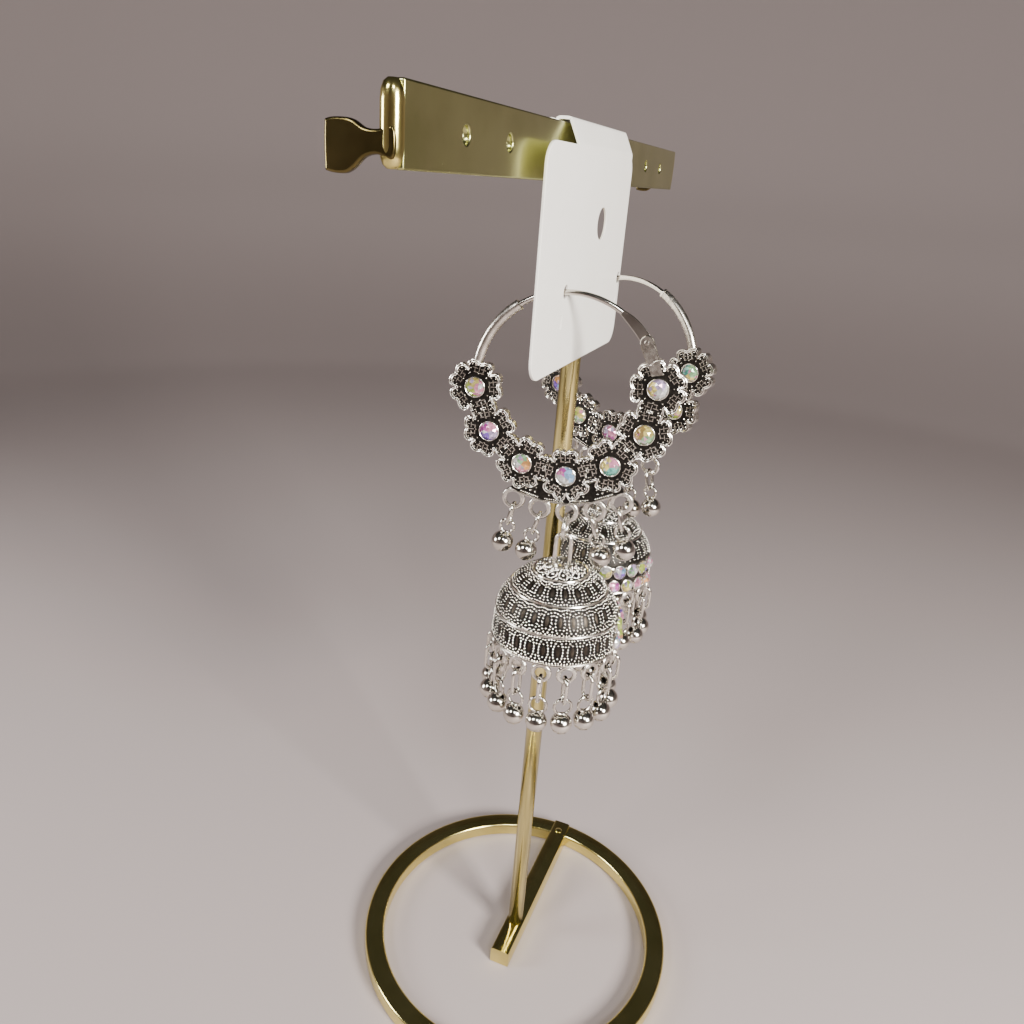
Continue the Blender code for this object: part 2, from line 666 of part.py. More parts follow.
def build_all():
    build_base()
    build_post()
    build_card([wire_crossing(centre, heading) for _, centre, heading, _, _ in EARRINGS])
    frame = build_frame()
    wire = build_wire()
    hoop_drop = build_drop(HOOP_DROP, EYE_RADIUS)
    rim_drop = build_drop(RIM_DROP, RIM_EYE_RADIUS)
    jump = ring_link(JUMP_RADIUS, JUMP_WIRE, sides=12, name="jump_ring")
    jump = moved(jump, Matrix.Rotation(math.radians(90.0), 4, "Z"))
    for name, centre, heading, tilt, side in EARRINGS:
        place = hoop_matrix(centre, heading, tilt)
        mirror = Matrix.Diagonal((side, 1.0, 1.0, 1.0))
        copied(frame, "hoop_" + name, "silver", place @ mirror)
        copied(wire, "ear_wire_" + name, "wire", place @ mirror)
        turn = Matrix.Rotation(math.radians(heading), 4, "Z")
        eyes = []
        for k in range(EYES):
            angle = 270.0 + EYE_STEP * (k - (EYES - 1) / 2)
            eyes.append(place @ Vector(on_circle(EYE_CIRCLE, angle)))
        number = 1
        for k, eye in enumerate(eyes):
            if k == (EYES - 1) // 2:
                continue
            seat = Matrix.Translation((0.0, 0.0, -EYE_RADIUS))
            splay = DROP_SPLAY if k < (EYES - 1) // 2 else -DROP_SPLAY
            lean = Matrix.Rotation(math.radians(splay), 4, "Y")
            spot = Matrix.Translation(eye) @ turn @ seat @ lean @ seat.inverted()
            copied(hoop_drop, "hoop_drop_%s_%d" % (name, number), "silver", spot, True)
            number += 1
        eye = eyes[(EYES - 1) // 2]
        wire_z = eye.z - EYE_RADIUS
        jump_top = wire_z + EYE_WIRE + JUMP_WIRE + GAP
        jump_low = jump_top - 2.0 * JUMP_RADIUS
        spot = Matrix.Translation((eye.x, eye.y, jump_top - JUMP_RADIUS)) @ turn
        copied(jump, "jump_ring_" + name, "silver", spot, True)
        loop_top = jump_low + JUMP_WIRE + EYE_WIRE + GAP
        bell_rim = eye.z - BELL_HANG
        bell = build_bell(loop_top - bell_rim)
        axis = Matrix.Translation((eye.x, eye.y, bell_rim)) @ turn
        copied(bell, "bell_" + name, "silver", axis)
        bpy.data.objects.remove(bell, do_unlink=True)
        for k in range(RIM_EYES):
            around = Matrix.Rotation(2.0 * math.pi * k / RIM_EYES, 4, "Z")
            spot = axis @ around @ Matrix.Translation((0.0, -RIM_EYE_CIRCLE, -RIM_EYE_RADIUS))
            copied(rim_drop, "bell_drop_%s_%02d" % (name, k + 1), "silver", spot, True)
    for made in (frame, wire, hoop_drop, rim_drop, jump):
        bpy.data.objects.remove(made, do_unlink=True)


build_all()
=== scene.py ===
"""Looks of the jhumka hoop earrings on their card and stand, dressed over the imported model."""

import math
import random

import bpy
from mathutils import Matrix, Vector


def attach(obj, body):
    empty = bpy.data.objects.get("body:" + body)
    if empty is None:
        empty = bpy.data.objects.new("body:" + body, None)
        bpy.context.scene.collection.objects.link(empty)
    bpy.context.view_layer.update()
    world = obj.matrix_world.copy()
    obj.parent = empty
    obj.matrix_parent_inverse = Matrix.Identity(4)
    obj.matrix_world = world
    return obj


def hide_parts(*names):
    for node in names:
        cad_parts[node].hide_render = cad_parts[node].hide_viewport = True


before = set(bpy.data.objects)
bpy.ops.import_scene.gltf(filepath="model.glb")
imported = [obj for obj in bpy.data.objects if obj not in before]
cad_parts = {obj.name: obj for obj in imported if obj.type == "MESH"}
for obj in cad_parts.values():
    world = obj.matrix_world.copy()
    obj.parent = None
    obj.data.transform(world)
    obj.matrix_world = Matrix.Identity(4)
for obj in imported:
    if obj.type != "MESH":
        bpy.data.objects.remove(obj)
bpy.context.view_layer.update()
MM = 0.001  # lengths are in millimetres until a mesh is made
TURN = 2 * math.pi
TINY = 1e-9
ROOT = "stand_and_hoops"
RNG = random.Random(41)

# places and sizes shared with the solids
HOOP_R = 16.6
EYE_CIRCLE = 24.0
EYE_R = 1.9
EYE_WIRE = 0.4
EYE_STEP = 12.8
EYES = 5
FLOWERS = 7
FLOWER_STEP = 30.0
HINGE_ANGLE = 29.0
BALL_R = 2.15
HOOP_DROP = 9.6
RIM_DROP = 11.2
RIM_EYE_R = 1.65
RIM_CIRCLE = 12.4
RIM_EYES = 16
BELL_HANG = 26.65  # from the middle eye down to the rim
JUMP_R, JUMP_WIRE = 2.45, 0.4
CLEAR = 0.3  # between linked rings
STRIP_LOW, STRIP_HIGH, STRIP_HALF, STRIP_T = 189.0, 198.0, 71.5, 1.2
STRIP_HOLES = (-54.4, -40.2, 40.2, 54.4)
STRIP_HOLE_R = 1.1
CARD_X, CARD_HALF, CARD_T, CARD_Y = -6.3, 25.1, 0.5, -3.1
CARD_LOW, CARD_HIGH = 158.1, 194.8
# name, hoop centre, heading and tilt in degrees, side of the hinge
EARRINGS = (
    ("front", (-16.6, -4.5, 155.0), -81.7, 6.5, 1),
    ("back", (16.6, -6.0, 155.0), -104.5, 0.0, -1),
)

# sizes of the scene alone
LINK_WIRE, LINK_HALF = 0.36, 1.25
RIM_EYE_WIRE = 0.42
BALL_RING_WIRE = 0.3
BALL_RING_SINK = 0.05
HOOP_BALL_RING_R, RIM_BALL_RING_R = 1.35, 1.7
LINK_GAP = 0.03
DROP_SPLAYS = (12.0, 15.0, 0.0, -15.0, -12.0)  # the balls stand off the bell's grains
SHARP = 38.0  # degrees


# materials

def new_material(name):
    made = bpy.data.materials.new(name)
    made.use_nodes = True
    tree = made.node_tree
    return made, tree, tree.nodes["Principled BSDF"]


def node(tree, kind, **values):
    """New node with its sockets, or else its properties, set by name."""
    made = tree.nodes.new(kind)
    for key, value in values.items():
        if key in made.inputs:
            made.inputs[key].default_value = value
        else:
            setattr(made, key, value)
    return made


def ramp(tree, fac, stops):
    made = tree.nodes.new("ShaderNodeValToRGB")
    ends = made.color_ramp.elements
    while len(ends) < len(stops):
        ends.new(0.5)
    for item, (place, colour) in zip(ends, stops):
        item.position = place
        item.color = (*colour, 1.0)
    tree.links.new(fac, made.inputs["Fac"])
    return made.outputs["Color"]


def noise(tree, scale, detail=3.0, stretch=None):
    coords = tree.nodes.new("ShaderNodeTexCoord")
    source = coords.outputs["Object"]
    if stretch:
        mapping = node(tree, "ShaderNodeMapping")
        mapping.inputs["Scale"].default_value = stretch
        tree.links.new(source, mapping.inputs["Vector"])
        source = mapping.outputs["Vector"]
    made = node(tree, "ShaderNodeTexNoise", Scale=scale, Detail=detail, Roughness=0.55)
    tree.links.new(source, made.inputs["Vector"])
    return made.outputs["Fac"]


def vary_polish(tree, shader, fine, low, high):
    """Roughness between two values over a fine noise."""
    grey = ramp(tree, fine, ((0.3, (low,) * 3), (0.75, (high,) * 3)))
    tree.links.new(grey, shader.inputs["Roughness"])


def add_bump(tree, shader, height, strength, distance):
    made = node(tree, "ShaderNodeBump", Strength=strength, Distance=distance)
    tree.links.new(height, made.inputs["Height"])
    tree.links.new(made.outputs["Normal"], shader.inputs["Normal"])


def metal(name, light, dark, rough, grain, bump=0.08, depth=0.00003, spread=0.12, stretch=None, wear_and_sheen_mid=0.5):
    """Metal whose colour and polish vary over the surface: its light and dark patches are tone and wear, and on the
    gold post they are painted reflection streaks.
    """
    made, tree, shader = new_material(name)
    shader.inputs["Metallic"].default_value = 1.0
    # light and dark patches: tone and wear, but painted reflection streaks where they are stretched along the gold post
    patches = noise(tree, grain * 0.35, 4.0, stretch)
    colour = ramp(tree, patches, ((wear_and_sheen_mid - 0.2, dark), (wear_and_sheen_mid + 0.15, light)))
    tree.links.new(colour, shader.inputs["Base Color"])
    fine = noise(tree, grain, 3.0, stretch)
    vary_polish(tree, shader, fine, rough, rough + spread)
    add_bump(tree, shader, fine, bump, depth)
    return made


def oxide(name):
    """Blackened recess of antiqued silver."""
    made, tree, shader = new_material(name)
    shader.inputs["Metallic"].default_value = 0.75
    patches = noise(tree, 1600.0, 4.0)
    colour = ramp(tree, patches, ((0.35, (0.008, 0.007, 0.006)), (0.62, (0.022, 0.019, 0.016)),
                                  (0.85, (0.07, 0.06, 0.05))))
    tree.links.new(colour, shader.inputs["Base Color"])
    shader.inputs["Roughness"].default_value = 0.42
    add_bump(tree, shader, patches, 0.5, 0.00008)
    return made


def stone_material():
    """Cut glass with a rainbow coating, one colour to a facet."""
    made, tree, shader = new_material("ab_crystal")
    tint = node(tree, "ShaderNodeVertexColor")
    tint.layer_name = "facet"
    shine = noise(tree, 1500.0, 2.0)
    glow = ramp(tree, shine, ((0.3, (0.6, 0.6, 0.6)), (0.7, (1.0, 1.0, 1.0))))
    mixed = node(tree, "ShaderNodeMix", data_type="RGBA", blend_type="MULTIPLY")
    mixed.inputs[0].default_value = 1.0
    tree.links.new(tint.outputs["Color"], mixed.inputs[6])
    tree.links.new(glow, mixed.inputs[7])
    tree.links.new(mixed.outputs[2], shader.inputs["Base Color"])
    shader.inputs["Roughness"].default_value = 0.08
    shader.inputs["Metallic"].default_value = 0.45
    shader.inputs["IOR"].default_value = 1.7
    shader.inputs["Coat Weight"].default_value = 1.0
    shader.inputs["Coat Roughness"].default_value = 0.03
    return made


def card_material():
    made, tree, shader = new_material("satin_card")
    broad = noise(tree, 60.0, 2.0)
    colour = ramp(tree, broad, ((0.3, (0.90, 0.875, 0.81)), (0.7, (0.94, 0.92, 0.86))))
    tree.links.new(colour, shader.inputs["Base Color"])
    fine = noise(tree, 2600.0, 3.0)
    vary_polish(tree, shader, fine, 0.30, 0.42)
    shader.inputs["Coat Weight"].default_value = 0.15
    shader.inputs["Coat Roughness"].default_value = 0.25
    add_bump(tree, shader, fine, 0.12, 0.00003)
    return made


SILVER = metal("antique_silver", (0.80, 0.765, 0.69), (0.36, 0.33, 0.28), 0.20, 1500.0, spread=0.14, wear_and_sheen_mid=0.42)
BRIGHT = metal("bright_silver", (0.84, 0.805, 0.73), (0.52, 0.48, 0.41), 0.18, 1400.0, spread=0.10, wear_and_sheen_mid=0.35)
POLISHED = metal("polished_silver", (0.80, 0.77, 0.70), (0.60, 0.565, 0.50), 0.11, 700.0, 0.05, spread=0.08)
PEWTER = metal("pewter_cell", (0.095, 0.078, 0.06), (0.02, 0.017, 0.014), 0.42, 1300.0, spread=0.2)
GOLD = metal("gold_plate", (0.86, 0.76, 0.30), (0.68, 0.59, 0.20), 0.13, 260.0, 0.10, 0.00004, 0.07)
# face of the top strip: a darker, greener copy of the stand's gold, a painted dark reflection; the strip's bends keep
# the bright gold
GOLD_BAR_PAINTED_DARK = metal("gold_bar_painted_dark_reflection", (0.60, 0.60, 0.27), (0.47, 0.475, 0.19), 0.20, 260.0, 0.10, 0.00004, 0.08)
# curled tabs: a near-black copy of the stand's gold, painted shade
GOLD_TAB_PAINTED_SHADE = metal("gold_tab_painted_shade", (0.17, 0.135, 0.05), (0.09, 0.07, 0.025), 0.20, 260.0, 0.10, 0.00004, 0.08)
# gold of the post: its strong light and dark streaks along the length are painted reflections; the stretched bump and
# polish are its brushing
GOLD_POST_REFLECTION_STREAKS = metal("gold_post_painted_reflections", (0.94, 0.82, 0.35), (0.36, 0.31, 0.10), 0.15, 2400.0, 0.16, 0.00006, 0.08,
                  stretch=(1.0, 1.0, 0.05))
RIM = metal("bright_rim", (0.93, 0.90, 0.83), (0.80, 0.76, 0.68), 0.15, 700.0, 0.05, spread=0.08)
GRAIN = metal("antique_grain", (0.70, 0.66, 0.58), (0.34, 0.31, 0.26), 0.20, 1500.0, spread=0.12, wear_and_sheen_mid=0.40)
OXIDE = oxide("oxide_black")
STONE = stone_material()
CARD = card_material()

# looks of the castings, and each one's place in the list
CAST_LOOKS = [SILVER, OXIDE, BRIGHT]
BELL_LOOKS = CAST_LOOKS + [PEWTER, GRAIN, RIM]
IS_SILVER, IS_OXIDE, IS_BRIGHT, IS_PEWTER, IS_GRAIN, IS_RIM = range(len(BELL_LOOKS))

# facet colours of the coated crystals
TINTS = {
    "lime": (0.55, 0.72, 0.10), "yellow": (0.95, 0.80, 0.22), "pink": (0.95, 0.36, 0.55),
    "magenta": (0.66, 0.10, 0.50), "violet": (0.30, 0.14, 0.78), "blue": (0.34, 0.60, 0.95),
    "teal": (0.16, 0.60, 0.50), "orange": (0.95, 0.45, 0.14), "amber": (0.62, 0.42, 0.12),
    "white": (0.95, 0.94, 0.92), "lilac": (0.72, 0.56, 0.90), "green": (0.36, 0.68, 0.34),
}


# placing

def shift(x, y, z):
    return Matrix.Translation((x, y, z))


def rot(degrees, axis):
    return Matrix.Rotation(math.radians(degrees), 4, axis)


FACE = rot(90.0, "X")  # stands a flat thing up, its top to the front
ACROSS, UPRIGHT = (0, 1, 0), (0, 0, 1)


def circle(radius, sides, squash=1.0):
    return [(radius * math.cos(TURN * k / sides), radius * squash * math.sin(TURN * k / sides))
            for k in range(sides)]


def on_circle(radius, degrees, depth=0.0):
    turn = math.radians(degrees)
    return (radius * math.cos(turn), depth, radius * math.sin(turn))


# meshes

def publish(name, mesh, body, nodes=()):
    """Puts a finished mesh into the scene as one piece."""
    made = bpy.data.objects.new(name, mesh)
    bpy.context.scene.collection.objects.link(made)
    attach(made, body)
    if nodes:
        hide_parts(*nodes)


class Shape:
    """A mesh under construction, with a look and maybe a tint for each face."""

    def __init__(self):
        self.points = []
        self.faces = []
        self.looks = []
        self.tints = {}

    def add(self, points, faces, look=0, place=None, tints=()):
        base = len(self.points)
        if place is not None:
            points = [place @ Vector(p) for p in points]
            if place.determinant() < 0.0:
                faces = [tuple(reversed(f)) for f in faces]
        self.points.extend(tuple(p) for p in points)
        for k, tint in enumerate(tints):
            self.tints[len(self.faces) + k] = tint
        self.faces.extend(tuple(base + i for i in f) for f in faces)
        self.looks.extend([look] * len(faces))

    def merge(self, other, place):
        offset = len(self.faces)
        self.add(other.points, other.faces, 0, place)
        self.looks[offset:] = other.looks
        for key, tint in other.tints.items():
            self.tints[offset + key] = tint

    def placed(self, place):
        made = Shape()
        made.merge(self, place)
        return made

    def build(self, name, looks, body, nodes=(), slot=None, flat=False):
        mesh = bpy.data.meshes.new(name)
        mesh.from_pydata([(x * MM, y * MM, z * MM) for x, y, z in self.points], [], self.faces)
        for look in looks:
            mesh.materials.append(look)
        mesh.polygons.foreach_set("material_index", self.looks)
        if self.tints:
            layer = mesh.color_attributes.new("facet", "FLOAT_COLOR", "CORNER")
            for face in mesh.polygons:
                for corner in face.loop_indices:
                    layer.data[corner].color = (*self.tints[face.index], 1.0)
        mesh.update()
        if flat:
            mesh.shade_flat()
        else:
            mesh.shade_smooth()
            mesh.set_sharp_from_angle(angle=math.radians(SHARP))
        publish(name, mesh, body, nodes)


def sweep(shape, path, section, up=ACROSS, look=0, closed=False, place=None, scales=None):
    """Carries a closed section of (side, up) pairs along a path."""
    points = [Vector(p) for p in path]
    count = len(points)
    normal = Vector(up)
    flat = []
    for i, point in enumerate(points):
        before = points[i - 1] if (i or closed) else point
        after = points[(i + 1) % count] if (i < count - 1 or closed) else point
        along = (after - before).normalized()
        top = (normal - along * normal.dot(along)).normalized()
        side = along.cross(top)
        grow = scales[i] if scales else 1.0
        flat += [point + side * (a * grow) + top * (b * grow) for a, b in section]
    size = len(section)
    faces = []
    for i in range(count if closed else count - 1):
        j = (i + 1) % count
        for k in range(size):
            m = (k + 1) % size
            faces.append((i * size + k, i * size + m, j * size + m, j * size + k))
    if not closed:
        faces.append(tuple(reversed(range(size))))
        faces.append(tuple((count - 1) * size + k for k in range(size)))
    shape.add(flat, faces, look, place)


def lathe(shape, profile, steps, look=0, place=None, closed=False):
    """Sweeps (radius, height) pairs round Z, with the solid on the left of the line's direction."""
    points = []
    index = []
    for r, z in profile:
        if r < TINY:
            index.append([len(points)] * steps)
            points.append((0.0, 0.0, z))
        else:
            index.append(list(range(len(points), len(points) + steps)))
            points.extend((x, y, z) for x, y in circle(r, steps))
    rows = len(profile)
    faces = []
    for i in range(rows if closed else rows - 1):
        j = (i + 1) % rows
        for k in range(steps):
            m = (k + 1) % steps
            face = tuple(dict.fromkeys((index[i][k], index[i][m], index[j][m], index[j][k])))
            if len(face) > 2:
                faces.append(face)
    shape.add(points, faces, look, place)


def ring(shape, radius, wire, look, place, steps, sides=10, stretch=0.0):
    """Round wire ring in the XZ plane, its lower half pulled down by stretch."""
    path = []
    for k in range(steps):
        turn = TURN * (k + 0.5) / steps
        z = radius * math.sin(turn)
        path.append((radius * math.cos(turn), 0.0, z - (stretch if z < 0 else 0.0)))
    sweep(shape, path, circle(wire, sides), ACROSS, look, True, place)


def ball(shape, radius, height, segments, rows):
    """Ball centred on Z."""
    profile = [(0.0, height - radius)]
    for i in range(1, rows):
        turn = math.pi * i / rows
        profile.append((radius * math.sin(turn), height - radius * math.cos(turn)))
    profile.append((0.0, height + radius))
    lathe(shape, profile, segments)


def bead_template():
    """Small round grain of 32 faces."""
    corners = [Vector(v) for v in ((1, 0, 0), (-1, 0, 0), (0, 1, 0), (0, -1, 0), (0, 0, 1), (0, 0, -1))]
    faces = ((0, 2, 4), (2, 1, 4), (1, 3, 4), (3, 0, 4), (2, 0, 5), (1, 2, 5), (3, 1, 5), (0, 3, 5))
    points = list(corners)
    middle = {}
    split = []

    def half(a, b):
        key = (min(a, b), max(a, b))
        if key not in middle:
            middle[key] = len(points)
            points.append((corners[a] + corners[b]).normalized())
        return middle[key]

    for a, b, c in faces:
        ab, bc, ca = half(a, b), half(b, c), half(c, a)
        split += [(a, ab, ca), (ab, b, bc), (ca, bc, c), (ab, bc, ca)]
    return [tuple(p) for p in points], split


BEAD_POINTS, BEAD_FACES = bead_template()


def bead(shape, centre, radius, look, stretch=None):
    """Grain at a point; stretch is a direction and a factor for longer grains."""
    if stretch:
        along, factor = stretch
        ball_points = [Vector(p) for p in BEAD_POINTS]
        ball_points = [v + along * (v.dot(along) * (factor - 1.0)) for v in ball_points]
    else:
        ball_points = BEAD_POINTS
    points = [(centre[0] + p[0] * radius, centre[1] + p[1] * radius, centre[2] + p[2] * radius)
              for p in ball_points]
    shape.add(points, BEAD_FACES, look)


def cut_stone(shape, radius, height, colours, place):
    """Round brilliant seen from above, +Z its top: table, star, kite and girdle facets."""
    girdle = -0.25

    def at(r, k, count, z, offset=0.0):
        turn = TURN * (k + offset) / count
        return (r * math.cos(turn), r * math.sin(turn), z)

    points = [(0.0, 0.0, height)]
    points += [at(radius * 0.54, k, 8, height) for k in range(8)]
    points += [at(radius * 0.80, k, 8, height * 0.62, 0.5) for k in range(8)]
    points += [at(radius, k, 16, 0.0) for k in range(16)]
    points += [at(radius, k, 16, girdle) for k in range(16)]
    points.append((0.0, 0.0, girdle))
    table, star, top, low, middle = 1, 9, 17, 33, 49  # where each row of points starts
    faces = []
    for k in range(8):
        after = (k + 1) % 8
        before = (k - 1) % 8
        faces.append((0, table + k, table + after))
        faces.append((table + k, star + k, table + after))
        faces.append((table + k, star + before, top + 2 * k, star + k))
        faces.append((star + k, top + 2 * k, top + 2 * k + 1))
        faces.append((star + k, top + 2 * k + 1, top + (2 * k + 2) % 16))
    upper = len(faces)
    for k in range(16):
        after = (k + 1) % 16
        faces.append((top + k, low + k, low + after, top + after))
        faces.append((middle, low + after, low + k))
    tints = []
    start = RNG.randrange(8)
    for i in range(len(faces)):
        sector = (i // 5 if i < upper else (i - upper) // 4) % 8
        base = TINTS[colours[((sector + start) % 8) * len(colours) // 8]]
        # some facets, chosen at random, are switched to white, pink or lilac; the white ones are painted highlights
        if RNG.random() < 0.18:
            base = TINTS[RNG.choice(("white", "white", "pink", "lilac"))]
        gain = RNG.uniform(0.5, 1.1)
        tints.append(tuple(min(1.0, c * gain + 0.02) for c in base))
    shape.add(points, faces, 0, place, tints)


def smooth(points, per, closed=True):
    """Catmull-Rom curve through plane or space points."""
    count = len(points)
    out = []
    for i in range(count if closed else count - 1):
        if closed:
            a, b, c, d = (points[(i + j) % count] for j in (-1, 0, 1, 2))
        else:
            a, b, c, d = points[max(i - 1, 0)], points[i], points[i + 1], points[min(i + 2, count - 1)]
        for k in range(per):
            t = k / per
            out.append(tuple(0.5 * (2 * q + (r - p) * t + (2 * p - 5 * q + 4 * r - s) * t * t
                                    + (3 * q - p - 3 * r + s) * t ** 3) for p, q, r, s in zip(a, b, c, d)))
    if not closed:
        out.append(tuple(points[-1]))
    return out


def spaced(path, pitch, closed=True):
    """Points at an even pitch along a path, with the direction at each."""
    pts = [Vector(p) for p in path]
    if closed:
        pts.append(pts[0])
    total = sum((b - a).length for a, b in zip(pts, pts[1:]))
    step = total / max(2, round(total / pitch))
    out = []
    need = step * 0.5
    for a, b in zip(pts, pts[1:]):
        span = (b - a).length
        if span < TINY:
            continue
        done = 0.0
        while span - done >= need:
            done += need
            out.append((a + (b - a) * (done / span), (b - a) / span))
            need = step
        need -= span - done
    return out


def plate(shape, outline, front, back, edge, look_front, look_side):
    """Flat piece in the XZ plane, star shaped about its middle, with softened edges; front is the lower y."""
    n = len(outline)
    cx = sum(p[0] for p in outline) / n
    cz = sum(p[1] for p in outline) / n

    def row(y, inset):
        made = []
        for x, z in outline:
            dx, dz = x - cx, z - cz
            length = math.hypot(dx, dz)
            share = (length - inset) / length
            made.append((cx + dx * share, y, cz + dz * share))
        return made

    points = row(front, edge) + row(front + edge, 0.0) + row(back - edge, 0.0) + row(back, edge)
    points += [(cx, front, cz), (cx, back, cz)]
    base = len(shape.points)
    shape.add(points, [(u + k, u + (k + 1) % n, u + n + (k + 1) % n, u + n + k)
                       for u in (0, n, 2 * n) for k in range(n)], look_side)
    for k in range(n):
        m = (k + 1) % n
        shape.faces.append((base + 4 * n, base + m, base + k))
        shape.faces.append((base + 4 * n + 1, base + 3 * n + k, base + 3 * n + m))
        shape.looks += [look_front, IS_SILVER]


def ribbon(shape, outer, inner, rows, look):
    """Band between two arcs that run clockwise; rows give the depth and inset of each layer of points."""
    points = []
    for y, inset in rows:
        for a, b in zip(outer, inner):
            a, b = Vector(a), Vector(b)
            away = (a - b).normalized() * inset
            points += [((a - away).x, y, (a - away).z), ((b + away).x, y, (b + away).z)]
    row = 2 * len(outer)
    end = row - 2
    back = (len(rows) - 1) * row
    faces = []
    for a in range(0, end, 2):
        b, c, d = a + 1, a + 3, a + 2
        faces.append((d, c, b, a))
        faces.append((back + a, back + b, back + c, back + d))
        for u in range(0, back, row):
            v = u + row
            faces.append((u + a, v + a, v + d, u + d))
            faces.append((u + c, v + c, v + b, u + b))
    for u in range(0, back, row):
        v = u + row
        faces.append((u + 1, v + 1, v, u))
        faces.append((u + end, v + end, v + end + 1, u + end + 1))
    shape.add(points, faces, look)


def curve_plate(name, outlines, thick, bevel, look, place, nodes=()):
    """Flat sheet with holes and softly rounded edges, fixed to the root body; outlines after the first are holes."""
    curve = bpy.data.curves.new(name, "CURVE")
    curve.dimensions = "2D"
    curve.fill_mode = "BOTH"
    curve.extrude = (thick / 2 - bevel) * MM
    curve.bevel_depth = bevel * MM
    curve.bevel_resolution = 2
    curve.offset = -bevel * MM
    for number, outline in enumerate(outlines):
        spline = curve.splines.new("POLY")
        spline.points.add(len(outline) - 1)
        for item, (x, y) in zip(spline.points, outline[::-1] if number else outline):
            item.co = (x * MM, y * MM, 0.0, 1.0)
        spline.use_cyclic_u = True
    holder = bpy.data.objects.new(name + "_curve", curve)
    bpy.context.scene.collection.objects.link(holder)
    bpy.context.view_layer.update()
    mesh = bpy.data.meshes.new_from_object(holder.evaluated_get(bpy.context.evaluated_depsgraph_get()))
    bpy.data.objects.remove(holder)
    mesh.transform(place)
    mesh.materials.clear()
    mesh.materials.append(look)
    mesh.shade_smooth()
    mesh.set_sharp_from_angle(angle=math.radians(SHARP))
    publish(name, mesh, ROOT, nodes)


def rounded(left, low, right, high, radius, steps=8):
    out = []
    for x, y, start in ((right - radius, high - radius, 0), (left + radius, high - radius, 90),
                        (left + radius, low + radius, 180), (right - radius, low + radius, 270)):
        for i in range(steps + 1):
            turn = math.radians(start + 90.0 * i / steps)
            out.append((x + radius * math.cos(turn), y + radius * math.sin(turn)))
    return out


def disc(x, y, radius, sides):
    return [(x + a, y + b) for a, b in circle(radius, sides)]


# stand and card

RING_OUT, RING_IN, RING_TOP, RING_EDGE, RING_FOOT = 40.0, 35.0, 4.0, 0.8, 0.4
EDGE_TURNS = (0, 22, 45, 68, 90)
BASE_BAR_STOPS = (-10.85, -10.7, 39.2, 39.5)
BASE_BAR_SECTION = ((2.5, 3.9), (2.3, 4.4), (1.8, 4.6), (-1.8, 4.6), (-2.3, 4.4),
                    (-2.5, 3.9), (-2.5, 0.2), (-2.3, 0.0), (2.3, 0.0), (2.5, 0.2))
RIVET_X = 35.6
RIVET = ((0.0, 4.5), (1.0, 4.5), (0.95, 4.85), (0.6, 5.1), (0.0, 5.15))
POST = ((0.0, 4.7), (1.75, 4.7), (1.95, 5.0), (1.95, 189.3), (0.0, 189.3))
BEND_R = 1.4
BEND = ((0.0, 189.0), (0.6, 189.05), (1.05, 189.45), (1.32, 190.2), (BEND_R, 191.2), (BEND_R, 195.8), (1.32, 196.8),
        (1.05, 197.55), (0.6, 197.95), (0.0, 198.0))
TAB = ((0.0, 190.1), (2.0, 190.4), (3.6, 190.0), (5.0, 188.8), (6.2, 188.25), (8.2, 188.35), (8.6, 189.0),
       (8.6, 193.0), (8.2, 193.75), (6.2, 193.9), (5.0, 193.7), (3.6, 193.0), (2.0, 192.9), (0.0, 193.2))


def build_stand():
    base = Shape()
    section = [(RING_OUT, RING_FOOT), (RING_OUT - RING_FOOT, 0.0), (RING_IN + RING_FOOT, 0.0), (RING_IN, RING_FOOT)]
    for radius, inward, turns in ((RING_IN, 1, EDGE_TURNS), (RING_OUT, -1, EDGE_TURNS[::-1])):
        for turn in turns:
            turn = math.radians(turn)
            section.append((radius + inward * RING_EDGE * (1 - math.cos(turn)),
                            RING_TOP - RING_EDGE * (1 - math.sin(turn))))
    lathe(base, section[::-1], 160, closed=True)
    sweep(base, [(x, 0, 0) for x in BASE_BAR_STOPS], BASE_BAR_SECTION, UPRIGHT)
    lathe(base, RIVET, 24, 0, shift(RIVET_X, 0.0, 0.0))
    base.build("stand_base_ring", [GOLD], ROOT, ("stand_base",), "gold")
    post = Shape()
    lathe(post, POST, 48)
    # the post is given the gold with painted reflection streaks
    post.build("stand_post_rod", [GOLD_POST_REFLECTION_STREAKS], ROOT, ("stand_post",), "gold")
    outline = rounded(BEND_R - STRIP_HALF, STRIP_LOW, STRIP_HALF - BEND_R, STRIP_HIGH, 0.3)
    middle = (STRIP_LOW + STRIP_HIGH) / 2
    holes = [disc(x, middle, STRIP_HOLE_R, 24) for x in STRIP_HOLES]
    # the strip's face is given the darker gold: painted dark reflection
    curve_plate("stand_top_bar", [outline] + holes, STRIP_T, 0.26, GOLD_BAR_PAINTED_DARK, FACE)
    ends = Shape()
    for side in (-1, 1):
        lathe(ends, BEND, 40, 0, shift(side * (STRIP_HALF - BEND_R), BEND_R - STRIP_T / 2, 0.0))
    ends.build("stand_bar_bends", [GOLD], ROOT, (), "gold")
    tab = smooth(TAB, 5)
    # the tabs are given the near-black gold: painted shade
    for side, tag in ((-1, "near"), (1, "far")):
        place = shift(side * (STRIP_HALF - STRIP_T / 2) * MM, 0.0, 0.0) @ rot(90.0, "Z") @ FACE
        curve_plate("stand_tab_" + tag, [tab], STRIP_T - 0.1, 0.3, GOLD_TAB_PAINTED_SHADE, place)


